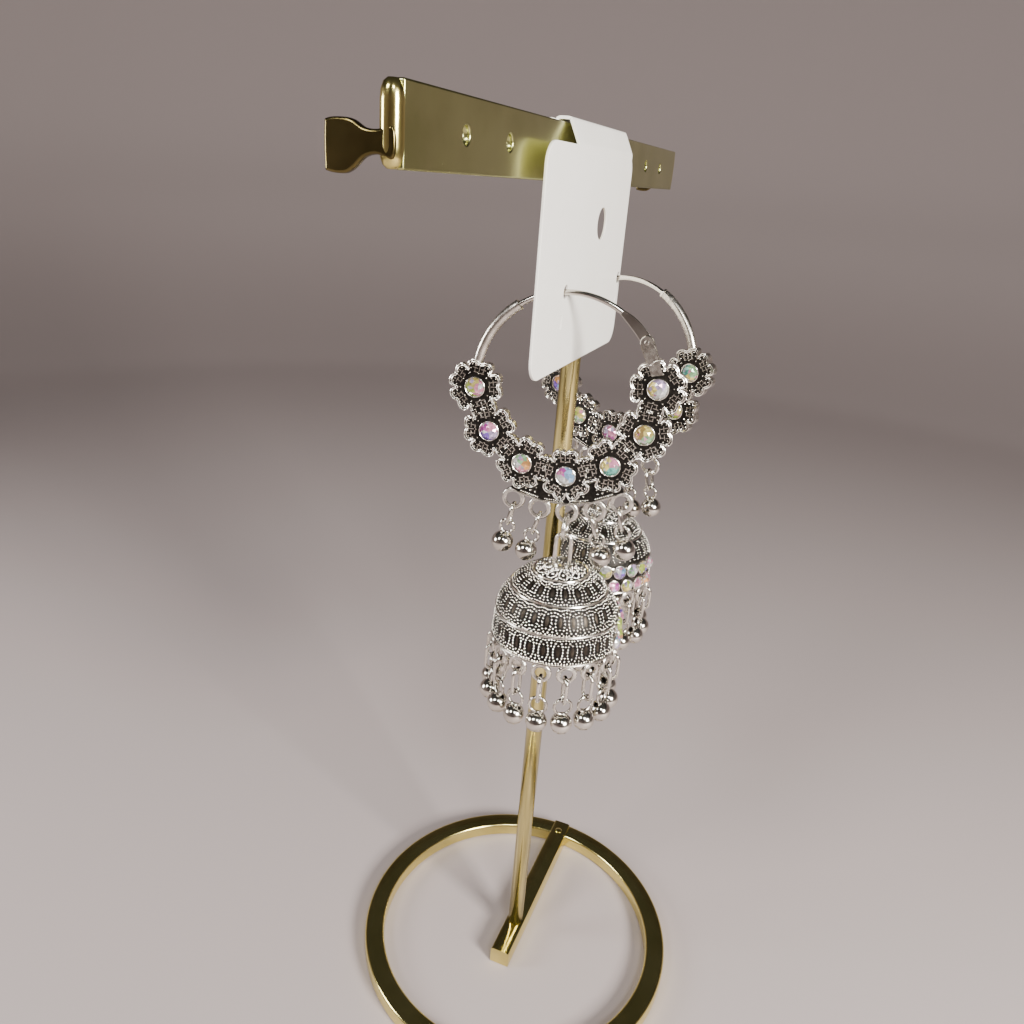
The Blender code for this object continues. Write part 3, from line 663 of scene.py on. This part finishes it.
CARD_CORNER, CARD_BEVEL = 3.6, 0.1
HANG_HOLE = (1.0, 182.3, 2.85)
WIRE_HOLE_R = 1.2
SLIT = (-1.7, -6.3, -0.9, -3.7)  # left, low, right and high, from the wire's hole
HOOK_LEFT, HOOK_RIGHT = -16.5, 17.6
HOOK = ((-2.85, 193.9), (-2.85, 194.5), (-2.78, 194.95), (-2.5, 195.6), (-1.25, 198.25), (-0.95, 198.6),
        (-0.55, 198.66), (0.7, 198.66), (1.15, 198.5), (1.34, 198.1), (1.35, 197.5), (1.35, 190.4))
FLAP = (-21.2, 189.4, 21.2, 198.4, 2.0)
FLAP_BACK = 1.6


def wire_crossing(centre, heading):
    """Where the ear wire passes the middle of the card's sheet."""
    turn = math.radians(heading)
    across = (CARD_Y + CARD_T / 2 - centre[1]) / math.sin(turn)
    return centre[0] + across * math.cos(turn), centre[2] + math.sqrt(HOOP_R ** 2 - across ** 2)


def build_card():
    outline = rounded(CARD_X - CARD_HALF, CARD_LOW, CARD_X + CARD_HALF, CARD_HIGH, CARD_CORNER)
    holes = [disc(*HANG_HOLE, 48)]
    for _, centre, heading, _, _ in EARRINGS:
        x, z = wire_crossing(centre, heading)
        holes.append(disc(x, z, WIRE_HOLE_R, 24))
        holes.append(rounded(x + SLIT[0], z + SLIT[1], x + SLIT[2], z + SLIT[3], 0.38, 4))
    place = shift(0.0, (CARD_Y + CARD_T / 2) * MM, 0.0) @ FACE
    curve_plate("card_panel", [outline] + holes, CARD_T, CARD_BEVEL, CARD, place, ("card",))
    path = smooth(HOOK, 3, False)
    half = CARD_T / 2 - 0.01
    sides = []
    for sign in (1, -1):
        row = []
        for i, (y, z) in enumerate(path):
            y0, z0 = path[max(i - 1, 0)]
            y1, z1 = path[min(i + 1, len(path) - 1)]
            length = math.hypot(y1 - y0, z1 - z0)
            row.append((y - sign * half * (z1 - z0) / length, z + sign * half * (y1 - y0) / length))
        sides.append(row)
    loop = sides[0] + sides[1][::-1]
    n = len(loop)
    points = [(x, y, z) for x in (HOOK_LEFT, HOOK_RIGHT) for y, z in loop]
    faces = [(k, (k + 1) % n, n + (k + 1) % n, n + k) for k in range(n)]
    for k in range(len(path) - 1):
        a, b, c, d = k, k + 1, n - 2 - k, n - 1 - k
        faces.append((d, c, b, a))
        faces.append((n + a, n + b, n + c, n + d))
    hook = Shape()
    hook.add(points, faces)
    hook.build("card_hook", [CARD], ROOT, (), "card")
    place = shift(0.0, (FLAP_BACK - CARD_T / 2) * MM, 0.0) @ FACE
    curve_plate("card_back_flap", [rounded(*FLAP)], CARD_T, CARD_BEVEL, CARD, place)


# hoops, each in its own plane: X across, Z up, -Y its face

FLOWER_HALVES = (1.0, 0.9)  # of the even and the odd flowers, so that neighbours don't share a face
FLOWER_SINK = 0.25  # the dark ground lies this far behind the solids' face
ROPES = ((0.1, 0.15), (0.45, 0.115))  # inset from the outline, and wire
STONE_R, STONE_HEIGHT = 1.66, 0.7
PETALS = 5
PETAL_TURN = -72.0
PETAL_SIDE = ((2.25, 3.10), (2.27, 3.5), (2.4, 3.92), (2.3, 4.36), (1.9, 4.74), (1.3, 4.9), (0.6, 4.8), (0.0, 4.52))
PETAL = PETAL_SIDE + tuple((-x, z) for x, z in PETAL_SIDE[-2:0:-1])
PETAL_BARS = (
    ((-0.95, 2.75), (-0.2, 2.75)), ((0.2, 2.75), (0.95, 2.75)), ((-1.3, 3.5), (-0.3, 3.5)),
    ((0.3, 3.5), (1.3, 3.5)), ((0.0, 2.95), (0.0, 4.0)), ((-0.78, 2.9), (-0.84, 3.35)),
    ((0.78, 2.9), (0.84, 3.35)), ((-0.9, 3.7), (-0.95, 4.25)), ((0.9, 3.7), (0.95, 4.25)),
)
PETAL_GRAINS = ((0, 2.6), (-1.5, 4.0), (1.5, 4.0), (0.45, 4.15), (-0.45, 4.15), (1.62, 3.2), (-1.62, 3.2), (1.62, 2.25))
COLLAR = ((0.0, -0.3), (1.92, -0.3), (1.95, 0.05), (1.92, 0.4), (1.83, 0.47), (1.74, 0.4), (1.7, 0.2), (0.0, 0.2))
# the seam between neighbour flowers, seen from a flower's middle
SEAM_TURN = math.radians(FLOWER_STEP / 2)
SEAM_COS, SEAM_SIN = math.cos(SEAM_TURN), math.sin(SEAM_TURN)
SEAM = HOOP_R * SEAM_SIN - 0.1
# colours round each crystal, hoop by hoop
HOOP_STONES = {
    "front": (
        ("lime", "pink", "yellow"), ("magenta", "violet", "lilac", "pink"), ("pink", "orange", "green", "white"),
        ("white", "blue", "magenta"), ("yellow", "teal", "pink"), ("amber", "green", "yellow"),
        ("yellow", "white", "lilac"),
    ),
    "back": (
        ("teal", "green", "yellow"), ("yellow", "lime", "white"), ("amber", "white", "pink"),
        ("pink", "magenta", "lilac"), ("lime", "yellow", "green"), ("violet", "orange", "blue"),
        ("violet", "lime", "pink"),
    ),
}


def flower_outline(inset=0.0):
    points = []
    for k in range(PETALS):
        turn = math.radians(PETAL_TURN * k)
        for x, z in PETAL:
            length = math.hypot(x, z)
            share = (length - inset) / length
            x, z = x * share * (1 - inset * 0.12), z * share
            points.append((x * math.cos(turn) + z * math.sin(turn), -x * math.sin(turn) + z * math.cos(turn)))
    return smooth(points, 4)


def build_flower(body, stones, index, colours):
    half = FLOWER_HALVES[index % 2]
    face = -half + FLOWER_SINK
    part = Shape()
    plate(part, flower_outline(), face, half, 0.12, IS_OXIDE, IS_SILVER)

    def free(x, z):
        """Whether a point is on this flower's side of the seams with its neighbours."""
        after = x * SEAM_COS + z * SEAM_SIN < SEAM or index == FLOWERS - 1
        before = -x * SEAM_COS + z * SEAM_SIN < SEAM or index == 0
        return after and before

    for inset, wire in ROPES:
        loop = flower_outline(inset)
        first = next(k for k in range(len(loop)) if not free(*loop[k]))
        run = []
        for x, z in loop[first:] + loop[:first + 1]:
            if free(x, z):
                run.append((x, face - 0.03, z))
            else:
                if len(run) > 2:
                    sweep(part, run, circle(wire, 8, 1.3), look=IS_BRIGHT)
                run = []
    for k in range(PETALS):
        turn = rot(PETAL_TURN * k, "Y")
        for (x0, z0), (x1, z1) in PETAL_BARS:
            start, end = turn @ Vector((x0, face - 0.04, z0)), turn @ Vector((x1, face - 0.04, z1))
            if free(start.x, start.z) and free(end.x, end.z):
                sweep(part, [start, end], circle(0.12, 6, 1.3), look=IS_BRIGHT)
        for x, z in PETAL_GRAINS:
            spot = turn @ Vector((x, face - 0.05, z))
            if free(spot.x, spot.z):
                bead(part, spot, 0.17, IS_BRIGHT)
    lathe(part, COLLAR, 40, IS_BRIGHT, shift(0, face, 0) @ FACE)
    angle = 180.0 + FLOWER_STEP * index
    place = Matrix.Translation(on_circle(HOOP_R, angle)) @ rot(-(angle + 90.0), "Y")
    body.merge(part, place)
    seat = place @ shift(0, face - 0.3, 0) @ FACE @ rot(RNG.uniform(0, 45), "Z")
    cut_stone(stones, STONE_R, STONE_HEIGHT, colours, seat)


TUBE_R, TUBE_MOUTH, TUBE_LAST, ARC_STEPS = 0.95, 118.0, 168.0, 40
TUBE_BANDS = ((124.0, 1.0), (140.0, 0.98))  # where each starts, and its radius
PLATE_OUT, PLATE_IN, PLATE_START, PLATE_SPREAD, PLATE_STEPS = 22.2, 18.6, 299.0, 58.0, 24
PLATE_ROWS = ((-0.45, 0.0), (0.5, 0.0))
LUG_Y, LUG_HALF, LUG_R = 0.725, 0.22, 1.15
PIN_STOPS = ((-1.12, 0.75), (-1.02, 1.0), (1.02, 1.0), (1.12, 0.75))  # depth, and share of its radius


def eye_angle(k):
    return 270.0 + EYE_STEP * (k - 2)


def cast_eye(shape, radius, wire, inset, forward, place, steps):
    """Round ring with a thinner one set into its front; steps are those of both."""
    ring(shape, radius, wire, IS_BRIGHT, place, steps[0])
    ring(shape, radius - inset, 0.2, IS_SILVER, place @ shift(0, -forward, 0), steps[1], 8)


def build_hoop(name, side):
    """Hoop frame and its stones."""
    body = Shape()
    stones = Shape()
    arc = [on_circle(HOOP_R, TUBE_MOUTH + (TUBE_LAST - TUBE_MOUTH) * i / ARC_STEPS) for i in range(ARC_STEPS + 1)]
    swell = [0.93 + 0.07 * min(1.0, i / 3.0) - 0.3 * max(0.0, (i - ARC_STEPS + 4) / 4.0)
             for i in range(ARC_STEPS + 1)]
    sweep(body, arc, circle(TUBE_R, 20), look=IS_SILVER, scales=swell)
    sweep(body, arc[:2], circle(1.0, 20), look=IS_BRIGHT)
    for start, reach in TUBE_BANDS:
        sweep(body, [on_circle(HOOP_R, start + 1.2 * i) for i in range(3)], circle(reach, 20), look=IS_SILVER)
    for index in range(FLOWERS):
        build_flower(body, stones, index, HOOP_STONES[name][index])
    # lower plate that carries the eyes
    outer, inner = ([on_circle(r, PLATE_START - PLATE_SPREAD * i / PLATE_STEPS) for i in range(PLATE_STEPS + 1)]
                    for r in (PLATE_OUT, PLATE_IN))
    ribbon(body, outer, inner, PLATE_ROWS, IS_OXIDE)
    for k in range(EYES - 1):
        a, b = eye_angle(k), eye_angle(k + 1)
        sweep(body, [on_circle(22.3, a, -0.5), on_circle(22.3, b, -0.5)], circle(0.2, 8), look=IS_BRIGHT)
        row = [on_circle(21.75, a + 1.5, -0.48), on_circle(21.75, b - 1.5, -0.48)]
        for point, _ in spaced(row, 0.42, False):
            bead(body, point, 0.17, IS_BRIGHT)
        middle = (a + b) / 2
        for r in (19.3, 20.1, 20.9):
            for away, size in ((0.0, 0.24), (2.6, 0.18), (-2.6, 0.18)):
                bead(body, on_circle(r, middle + away, -0.5), size, IS_BRIGHT)
    for k in range(EYES):
        place = Matrix.Translation(on_circle(EYE_CIRCLE, eye_angle(k)))
        cast_eye(body, EYE_R, EYE_WIRE, 0.32, 0.22, place, (36, 32))
    # hinge lugs and their pin
    pin = on_circle(HOOP_R, HINGE_ANGLE)
    foot = [on_circle(HOOP_R - 1.0, 8.0), on_circle(HOOP_R + 1.0, 8.0)]
    outline = [(x, z) for x, _, z in foot]
    for i in range(9):
        turn = math.radians(HINGE_ANGLE + 22.5 * i)
        outline.append((pin[0] + LUG_R * math.cos(turn), pin[2] + LUG_R * math.sin(turn)))
    for y in (-LUG_Y, LUG_Y):
        plate(body, outline[::-1], y - LUG_HALF, y + LUG_HALF, 0.08, IS_SILVER, IS_BRIGHT)
    sweep(body, [(pin[0], y, pin[2]) for y, _ in PIN_STOPS], circle(0.42, 12), UPRIGHT, IS_BRIGHT,
          scales=[share for _, share in PIN_STOPS])
    return body, stones


WIRE_R, WIRE_TIP, WIRE_END = 0.5, 125.0, 52.0
PADDLE = ((56.0, 0.42), (52.0, 0.5), (48.0, 0.68), (43.0, 0.86), (37.0, 0.95), (31.0, 0.95), (27.5, 0.8))
PADDLE_ROWS = ((-0.3, 0.1), (-0.2, 0.0), (0.2, 0.0), (0.3, 0.1))


def build_ear_wire():
    """Round wire with the flat end that turns on the hinge."""
    wire = Shape()
    arc = [on_circle(HOOP_R, WIRE_TIP - (WIRE_TIP - WIRE_END) * i / ARC_STEPS) for i in range(ARC_STEPS + 1)]
    taper = [0.8 + 0.2 * min(1.0, i / 2.0) for i in range(ARC_STEPS + 1)]
    sweep(wire, arc, circle(WIRE_R, 14), scales=taper)
    stations = smooth(PADDLE, 3, False)
    ribbon(wire, [on_circle(HOOP_R + half, angle) for angle, half in stations],
           [on_circle(HOOP_R - half, angle) for angle, half in stations], PADDLE_ROWS, 0)
    return wire


# bell and drops, about the Z axis, with the rim at z = 0

BELL = ((0.0, 14.9), (3.0, 14.7), (5.4, 14.3), (7.8, 13.0), (9.5, 11.1), (11.2, 8.8), (12.1, 6.1), (12.4, 3.0),
        (12.6, 0.0))
BELL_PER = 12  # points from one knot of the profile to the next
BELL_LINE = smooth(BELL, BELL_PER, False)
BELL_RUN = [0.0]  # distance down the profile to each of its points
for (_r0, _z0), (_r1, _z1) in zip(BELL_LINE, BELL_LINE[1:]):
    BELL_RUN.append(BELL_RUN[-1] + math.hypot(_r1 - _r0, _z1 - _z0))
BELL_IN_R, BELL_IN_TOP, BELL_STEPS = 11.75, 13.9, 96
BELL_RINGS = ((2, 0.26), (4, 0.26), (6, 0.26), (8, 0.28))  # knot and wire
BELL_BANDS = ((2, 4, 20, 0.36), (4, 6, 28, 0.35), (6, 8, 28, 0.34))  # knots, cells and their half width
LAST_KNOT = 8
CORE_SIDES = 14
CRYSTAL_SPAN = 0.64  # half the sector that the crystals take, in radians
CRYSTAL_TOP = 7.2  # grains in that sector lie above this height
CRYSTAL_ROWS = ((5.4, 0.0), (2.0, -0.35))  # height and offset
CRYSTAL_STEP = 0.265  # radians
CRYSTALS_IN_ROW = 5
CRYSTAL_R, CRYSTAL_HEIGHT = 1.42, 0.72
BEZEL = ((0.0, -0.3), (1.58, -0.3), (1.62, 0.1), (1.56, 0.34), (1.44, 0.4), (1.36, 0.3), (0.0, 0.3))
CROWN_PETALS = 10
LOOP_R = 1.5
PATCH = {"front": math.radians(26.0), "back": math.radians(-20.5)}  # direction of the crystals
BELL_STONES = {
    "front": (
        ("white", "lime", "yellow"), ("magenta", "violet", "pink"), ("orange", "pink"), ("yellow", "white"),
        ("green", "white"), ("blue", "white", "lilac", "orange"), ("yellow", "lime", "orange"),
        ("pink", "lilac"), ("blue", "violet"), ("yellow", "white"),
    ),
    "back": (
        ("yellow", "white", "lime"), ("violet", "blue", "white", "lilac"), ("green", "white", "lilac"),
        ("yellow", "lime", "violet"), ("pink", "white"), ("lime", "green", "white"),
        ("magenta", "pink", "lilac"), ("yellow", "white", "lime"), ("orange", "pink", "white"),
        ("orange", "pink"),
    ),
}


def bell_at(run):
    """Radius, height, and outward (radial, up) normal of the bell's skin at a distance down from its top."""
    run = min(max(run, 0.0), BELL_RUN[-1] - 1e-6)
    i = 0
    while BELL_RUN[i + 1] < run:
        i += 1
    (r0, z0), (r1, z1) = BELL_LINE[i], BELL_LINE[i + 1]
    span = BELL_RUN[i + 1] - BELL_RUN[i]
    t = (run - BELL_RUN[i]) / span
    return r0 + (r1 - r0) * t, z0 + (z1 - z0) * t, (-(z1 - z0) / span, (r1 - r0) / span)


def bell_run(knot):
    return BELL_RUN[knot * BELL_PER]


def bell_point(run, angle, lift):
    r, z, (nr, nz) = bell_at(run)
    r += nr * lift
    z += nz * lift
    return Vector((r * math.cos(angle), r * math.sin(angle), z))


def almond(run, reach, around, half, power, lift, count):
    """Points round an upright pointed oval on the bell's skin."""
    points = []
    for k in range(count):
        t = TURN * k / count
        w = math.copysign(abs(math.sin(t)) ** power, math.sin(t))
        points.append(bell_point(run - reach * math.cos(t), around + half * w, lift))
    return points


def add_band(body, patch, top, low, count, wide):
    """Band of grained almond cells between two rings, broken by the crystals."""
    start, end = bell_run(top) + 0.35, bell_run(low) - (0.35 if low < LAST_KNOT else 0.6)
    middle, reach = (start + end) / 2, (end - start) / 2 * 0.97
    step = TURN / count
    for j in range(count):
        around = step * j
        away = (around - patch + math.pi) % TURN - math.pi
        crystals = low > 4 and abs(away) < CRYSTAL_SPAN
        if low > 6 and crystals:
            continue
        for point, _ in spaced(almond(middle, reach, around, wide * step, 1.35, 0.05, 24), 0.62):
            if not crystals or point.z > CRYSTAL_TOP:
                bead(body, point, 0.185, IS_GRAIN)
        if crystals:
            continue
        core = almond(middle, reach * 0.4, around, wide * 0.36 * step, 1.3, 0.0, CORE_SIDES)
        core.append(bell_point(middle, around, 0.1))
        body.add(core, [(k, (k + 1) % CORE_SIDES, CORE_SIDES) for k in range(CORE_SIDES)], IS_PEWTER)
        for u in (-1, 1):
            bead(body, bell_point(middle + u * reach * 0.55, around, 0.06), 0.15, IS_GRAIN)
            for lane, radius in ((1.0, 0.19), (0.75, 0.18), (0.48, 0.165)):
                bead(body, bell_point(middle + u * reach * lane, around + step / 2, 0.07), radius, IS_GRAIN)
            for off in (-0.19, 0.19):
                bead(body, bell_point(middle + u * reach * 0.97, around + step * (0.5 + off), 0.07), 0.17, IS_GRAIN)


def add_crown(body):
    """Disc of petals made of grains on the bell's top."""
    for j in range(CROWN_PETALS):
        around = TURN * j / CROWN_PETALS
        loop = []
        for k in range(20):
            t = TURN * k / 20
            loop.append(bell_point(3.25 - 1.55 * math.cos(t), around + 0.24 * math.sin(t), 0.1))
        for point, along in spaced(loop, 0.45):
            bead(body, point, 0.19, IS_BRIGHT, (along, 1.1))
        half = math.pi / CROWN_PETALS
        for run, turn, size in ((3.3, around, 0.3), (4.75, around + half, 0.26), (4.1, around + half, 0.18)):
            bead(body, bell_point(run, turn, 0.1), size, IS_BRIGHT)
    for k in range(14):
        bead(body, bell_point(1.35, TURN * k / 14, 0.1), 0.24, IS_BRIGHT)


def build_bell(loop_top, name):
    """Bell and its crystals."""
    body = Shape()
    stones = Shape()
    patch = PATCH[name]
    inner = [(BELL_IN_R, 0.0)]
    for turn in range(8, 90, 8):
        turn = math.radians(turn)
        inner.append((BELL_IN_R * math.cos(turn), BELL_IN_TOP * math.sin(turn)))
    inner.append((0.0, BELL_IN_TOP))
    lathe(body, (BELL_LINE[::3] + inner)[::-1], BELL_STEPS, IS_OXIDE)
    for knot, wire in BELL_RINGS:
        r, z, (nr, nz) = bell_at(bell_run(knot))
        height = z + nz * 0.06 + (wire if knot == LAST_KNOT else 0.0)
        path = [(x, y, height) for x, y in circle(r + nr * 0.06, BELL_STEPS)]
        sweep(body, path, circle(wire, 8), UPRIGHT, IS_RIM, True)
    for top, low, count, wide in BELL_BANDS:
        add_band(body, patch, top, low, count, wide)
    add_crown(body)
    number = 0
    for high, offset in CRYSTAL_ROWS:
        run = next(b for (_, z), b in zip(BELL_LINE, BELL_RUN) if z <= high)
        _, _, (nr, nz) = bell_at(run)
        for k in range(CRYSTALS_IN_ROW):
            around = patch + (k - 2 + offset) * CRYSTAL_STEP
            outward = Vector((nr * math.cos(around), nr * math.sin(around), nz))
            lean = outward.to_track_quat("Z", "Y").to_matrix().to_4x4()
            place = Matrix.Translation(bell_point(run, around, 0.12)) @ lean
            lathe(body, BEZEL, 24, IS_BRIGHT, place)
            seat = place @ shift(0, 0, 0.34)
            cut_stone(stones, CRYSTAL_R, CRYSTAL_HEIGHT, BELL_STONES[name][number], seat)
            number += 1
    for k in range(RIM_EYES):
        place = rot(360.0 * k / RIM_EYES, "Z") @ shift(0.0, -RIM_CIRCLE, -RIM_EYE_R)
        cast_eye(body, RIM_EYE_R, RIM_EYE_WIRE, 0.3, 0.2, place, (30, 26))
    top = BELL[0][1]
    ring(body, LOOP_R, EYE_WIRE, IS_BRIGHT, shift(0, 0, loop_top - LOOP_R), 28,
         stretch=loop_top - top + EYE_WIRE - 2 * LOOP_R)
    lathe(body, [(0.0, top - 0.3), (1.05, top - 0.3), (1.0, top + 0.1), (0.75, top + 0.3), (0.0, top + 0.35)],
          24, IS_BRIGHT)
    return body, stones


def build_drop(length, eye_radius, ring_radius):
    """Link, the ball's own ring and the ball, hanging from an eye at the origin."""
    part = Shape()
    ring_middle = -length + BALL_R - BALL_RING_SINK + ring_radius
    top = -eye_radius + EYE_WIRE + LINK_WIRE + LINK_GAP
    low = ring_middle + ring_radius - BALL_RING_WIRE - LINK_WIRE - LINK_GAP
    ring(part, LINK_HALF, LINK_WIRE, 0, shift(0, 0, top - LINK_HALF) @ rot(90.0, "Z"), 28,
         stretch=top - low - 2 * LINK_HALF)
    ring(part, ring_radius, BALL_RING_WIRE, 0, shift(0, 0, ring_middle), 30)
    ball(part, BALL_R, -length, 36, 24)
    return part


def build_earrings():
    hoop_drop = build_drop(HOOP_DROP, EYE_R, HOOP_BALL_RING_R)
    rim_drop = build_drop(RIM_DROP, RIM_EYE_R, RIM_BALL_RING_R)
    for name, centre, heading, tilt, side in EARRINGS:
        turn = rot(heading, "Z")
        place = Matrix.Translation(centre) @ turn @ rot(-tilt, "Y")
        hoop, jewels = build_hoop(name, side)
        wire = build_ear_wire()
        if side < 0:
            mirror = Matrix.Diagonal((-1.0, 1.0, 1.0, 1.0))
            hoop, jewels, wire = hoop.placed(mirror), jewels.placed(mirror), wire.placed(mirror)
        hoop.placed(place).build("hoop_casting_" + name, CAST_LOOKS, ROOT, ("hoop_" + name,), "hoop")
        jewels.placed(place).build("hoop_crystals_" + name, [STONE], ROOT, (), "hoop", flat=True)
        wire.placed(place).build("ear_wire_round_" + name, [POLISHED], ROOT, ("ear_wire_" + name,), "ear_wire")
        drops = Shape()
        eyes = [place @ Vector(on_circle(EYE_CIRCLE, eye_angle(k))) for k in range(EYES)]
        middle = EYES // 2
        for k, eye in enumerate(eyes):
            if k != middle:
                seat = shift(0.0, 0.0, -EYE_R)
                lean = rot(DROP_SPLAYS[k], "Y")
                drops.merge(hoop_drop, Matrix.Translation(eye) @ turn @ seat @ lean @ seat.inverted())
        drops.build("hoop_ball_drops_" + name, [POLISHED], ROOT,
                    ["hoop_drop_%s_%d" % (name, k) for k in range(1, EYES)], "balls")
        moving = "bell_%s_hanging" % name
        eye = eyes[middle]
        jump_top = eye.z - EYE_R + EYE_WIRE + JUMP_WIRE + CLEAR
        jump = Shape()
        spot = shift(eye.x, eye.y, jump_top - JUMP_R) @ turn @ rot(90.0, "Z")
        ring(jump, JUMP_R, JUMP_WIRE, 0, spot, 40, 12)
        jump.build("jump_ring_round_" + name, [BRIGHT], moving, ("jump_ring_" + name,), "links")
        loop_top = jump_top - 2 * JUMP_R + JUMP_WIRE + EYE_WIRE + CLEAR
        rim = eye.z - BELL_HANG
        shell, crystals = build_bell(loop_top - rim, name)
        axis = shift(eye.x, eye.y, rim) @ turn
        shell.placed(axis).build("bell_filigree_" + name, BELL_LOOKS, moving, ("bell_" + name,), "bell")
        crystals.placed(axis).build("bell_crystals_" + name, [STONE], moving, (), "bell", flat=True)
        fringe = Shape()
        for k in range(RIM_EYES):
            around = rot(360.0 * k / RIM_EYES, "Z")
            fringe.merge(rim_drop, axis @ around @ shift(0.0, -RIM_CIRCLE, -RIM_EYE_R))
        fringe.build("bell_ball_drops_" + name, [POLISHED], moving,
                     ["bell_drop_%s_%02d" % (name, k) for k in range(1, RIM_EYES + 1)], "balls")


# stage, light and camera, in metres

STAGE = ((0.0, 0.0), (0.55, 0.0), (0.72, 0.012), (0.86, 0.06), (0.95, 0.14), (1.0, 0.26), (1.0, 0.55), (1.0, 0.95))
STAGE_PER, STAGE_STEPS = 6, 96
STAGE_SINK = 0.0002
STAGE_PALE, STAGE_DARK = (0.48, 0.41, 0.40), (0.09, 0.077, 0.075)
STAGE_STOPS = ((0.0, STAGE_PALE), (0.42, STAGE_PALE), (0.62, STAGE_DARK))  # colours by height


def build_stage():
    steps = STAGE_STEPS
    line = smooth(STAGE, STAGE_PER, False)[STAGE_PER:]
    points = [(0.0, 0.0, -STAGE_SINK)]
    for r, z in line:
        points += [(x, y, z - STAGE_SINK) for x, y in circle(r, steps)]
    faces = [(0, 1 + k, 1 + (k + 1) % steps) for k in range(steps)]
    for i in range(len(line) - 1):
        for k in range(steps):
            m = (k + 1) % steps
            faces.append((1 + i * steps + k, 1 + (i + 1) * steps + k, 1 + (i + 1) * steps + m, 1 + i * steps + m))
    mesh = bpy.data.meshes.new("floor")
    mesh.from_pydata(points, [], faces)
    mesh.shade_smooth()
    made, tree, shader = new_material("pale_floor")
    place = node(tree, "ShaderNodeNewGeometry")
    parts = node(tree, "ShaderNodeSeparateXYZ")
    tree.links.new(place.outputs["Position"], parts.inputs["Vector"])
    tree.links.new(ramp(tree, parts.outputs["Z"], STAGE_STOPS), shader.inputs["Base Color"])
    shader.inputs["Roughness"].default_value = 0.8
    mesh.materials.append(made)
    floor = bpy.data.objects.new("floor", mesh)
    bpy.context.scene.collection.objects.link(floor)


# the photo's camera
YAW, PITCH, ROLL = 1.2138, 0.3906, 0.0768
LENS = 28.529
EYE = Vector((-154.03, -47.47, 189.19)) * MM
FORWARD = Vector((math.sin(YAW) * math.cos(PITCH), math.cos(YAW) * math.cos(PITCH), -math.sin(PITCH)))
LEVEL = Vector((math.cos(YAW), -math.sin(YAW), 0.0))
RISE = LEVEL.cross(FORWARD)
RIGHT = LEVEL * math.cos(ROLL) + RISE * math.sin(ROLL)
UP = RISE * math.cos(ROLL) - LEVEL * math.sin(ROLL)
LIT_CENTRE = Vector((0.0, -0.004, 0.145))
WARM, SOFT, WHITE = (1.0, 0.965, 0.91), (1.0, 0.98, 0.96), (1.0, 1.0, 1.0)
# name, metres right of, above and in front of the object as the camera sees it, size, watts, colour
LIGHTS = (
    ("key", 0.30, 0.14, 0.36, 0.15, 6.2, WARM),
    ("fill", -0.34, 0.36, 0.34, 0.14, 1.5, SOFT),
    ("rim", 0.10, 0.40, 0.50, 0.12, 1.6, WHITE),
    ("side", -0.42, 0.06, 0.06, 0.12, 1.1, SOFT),
)


def area_light(name, across, up, towards, size, power, colour):
    lamp = bpy.data.lights.new(name, "AREA")
    lamp.shape = "RECTANGLE"
    lamp.size = size
    lamp.size_y = size
    lamp.energy = power
    lamp.color = colour
    made = bpy.data.objects.new(name, lamp)
    bpy.context.scene.collection.objects.link(made)
    flat = Vector((FORWARD.x, FORWARD.y, 0.0)).normalized()
    made.location = LIT_CENTRE + LEVEL * across + Vector((0, 0, 1)) * up - flat * towards
    made.rotation_euler = (LIT_CENTRE - made.location).to_track_quat("-Z", "Y").to_euler()


def build_camera_and_light():
    camera = bpy.data.cameras.new("camera")
    camera.sensor_fit = "HORIZONTAL"
    camera.sensor_width = 36.0
    camera.lens = LENS
    camera.clip_start = 0.005
    holder = bpy.data.objects.new("camera", camera)
    bpy.context.scene.collection.objects.link(holder)
    turn = Matrix((RIGHT, UP, -FORWARD)).transposed().to_4x4()
    holder.matrix_world = Matrix.Translation(EYE) @ turn
    bpy.context.scene.camera = holder
    for light in LIGHTS:
        area_light(*light)
    world = bpy.data.worlds.new("studio")
    world.use_nodes = True
    back = world.node_tree.nodes["Background"]
    back.inputs["Color"].default_value = (0.80, 0.78, 0.76, 1.0)
    back.inputs["Strength"].default_value = 0.06
    bpy.context.scene.world = world


build_camera_and_light()
build_stage()
build_stand()
build_card()
build_earrings()
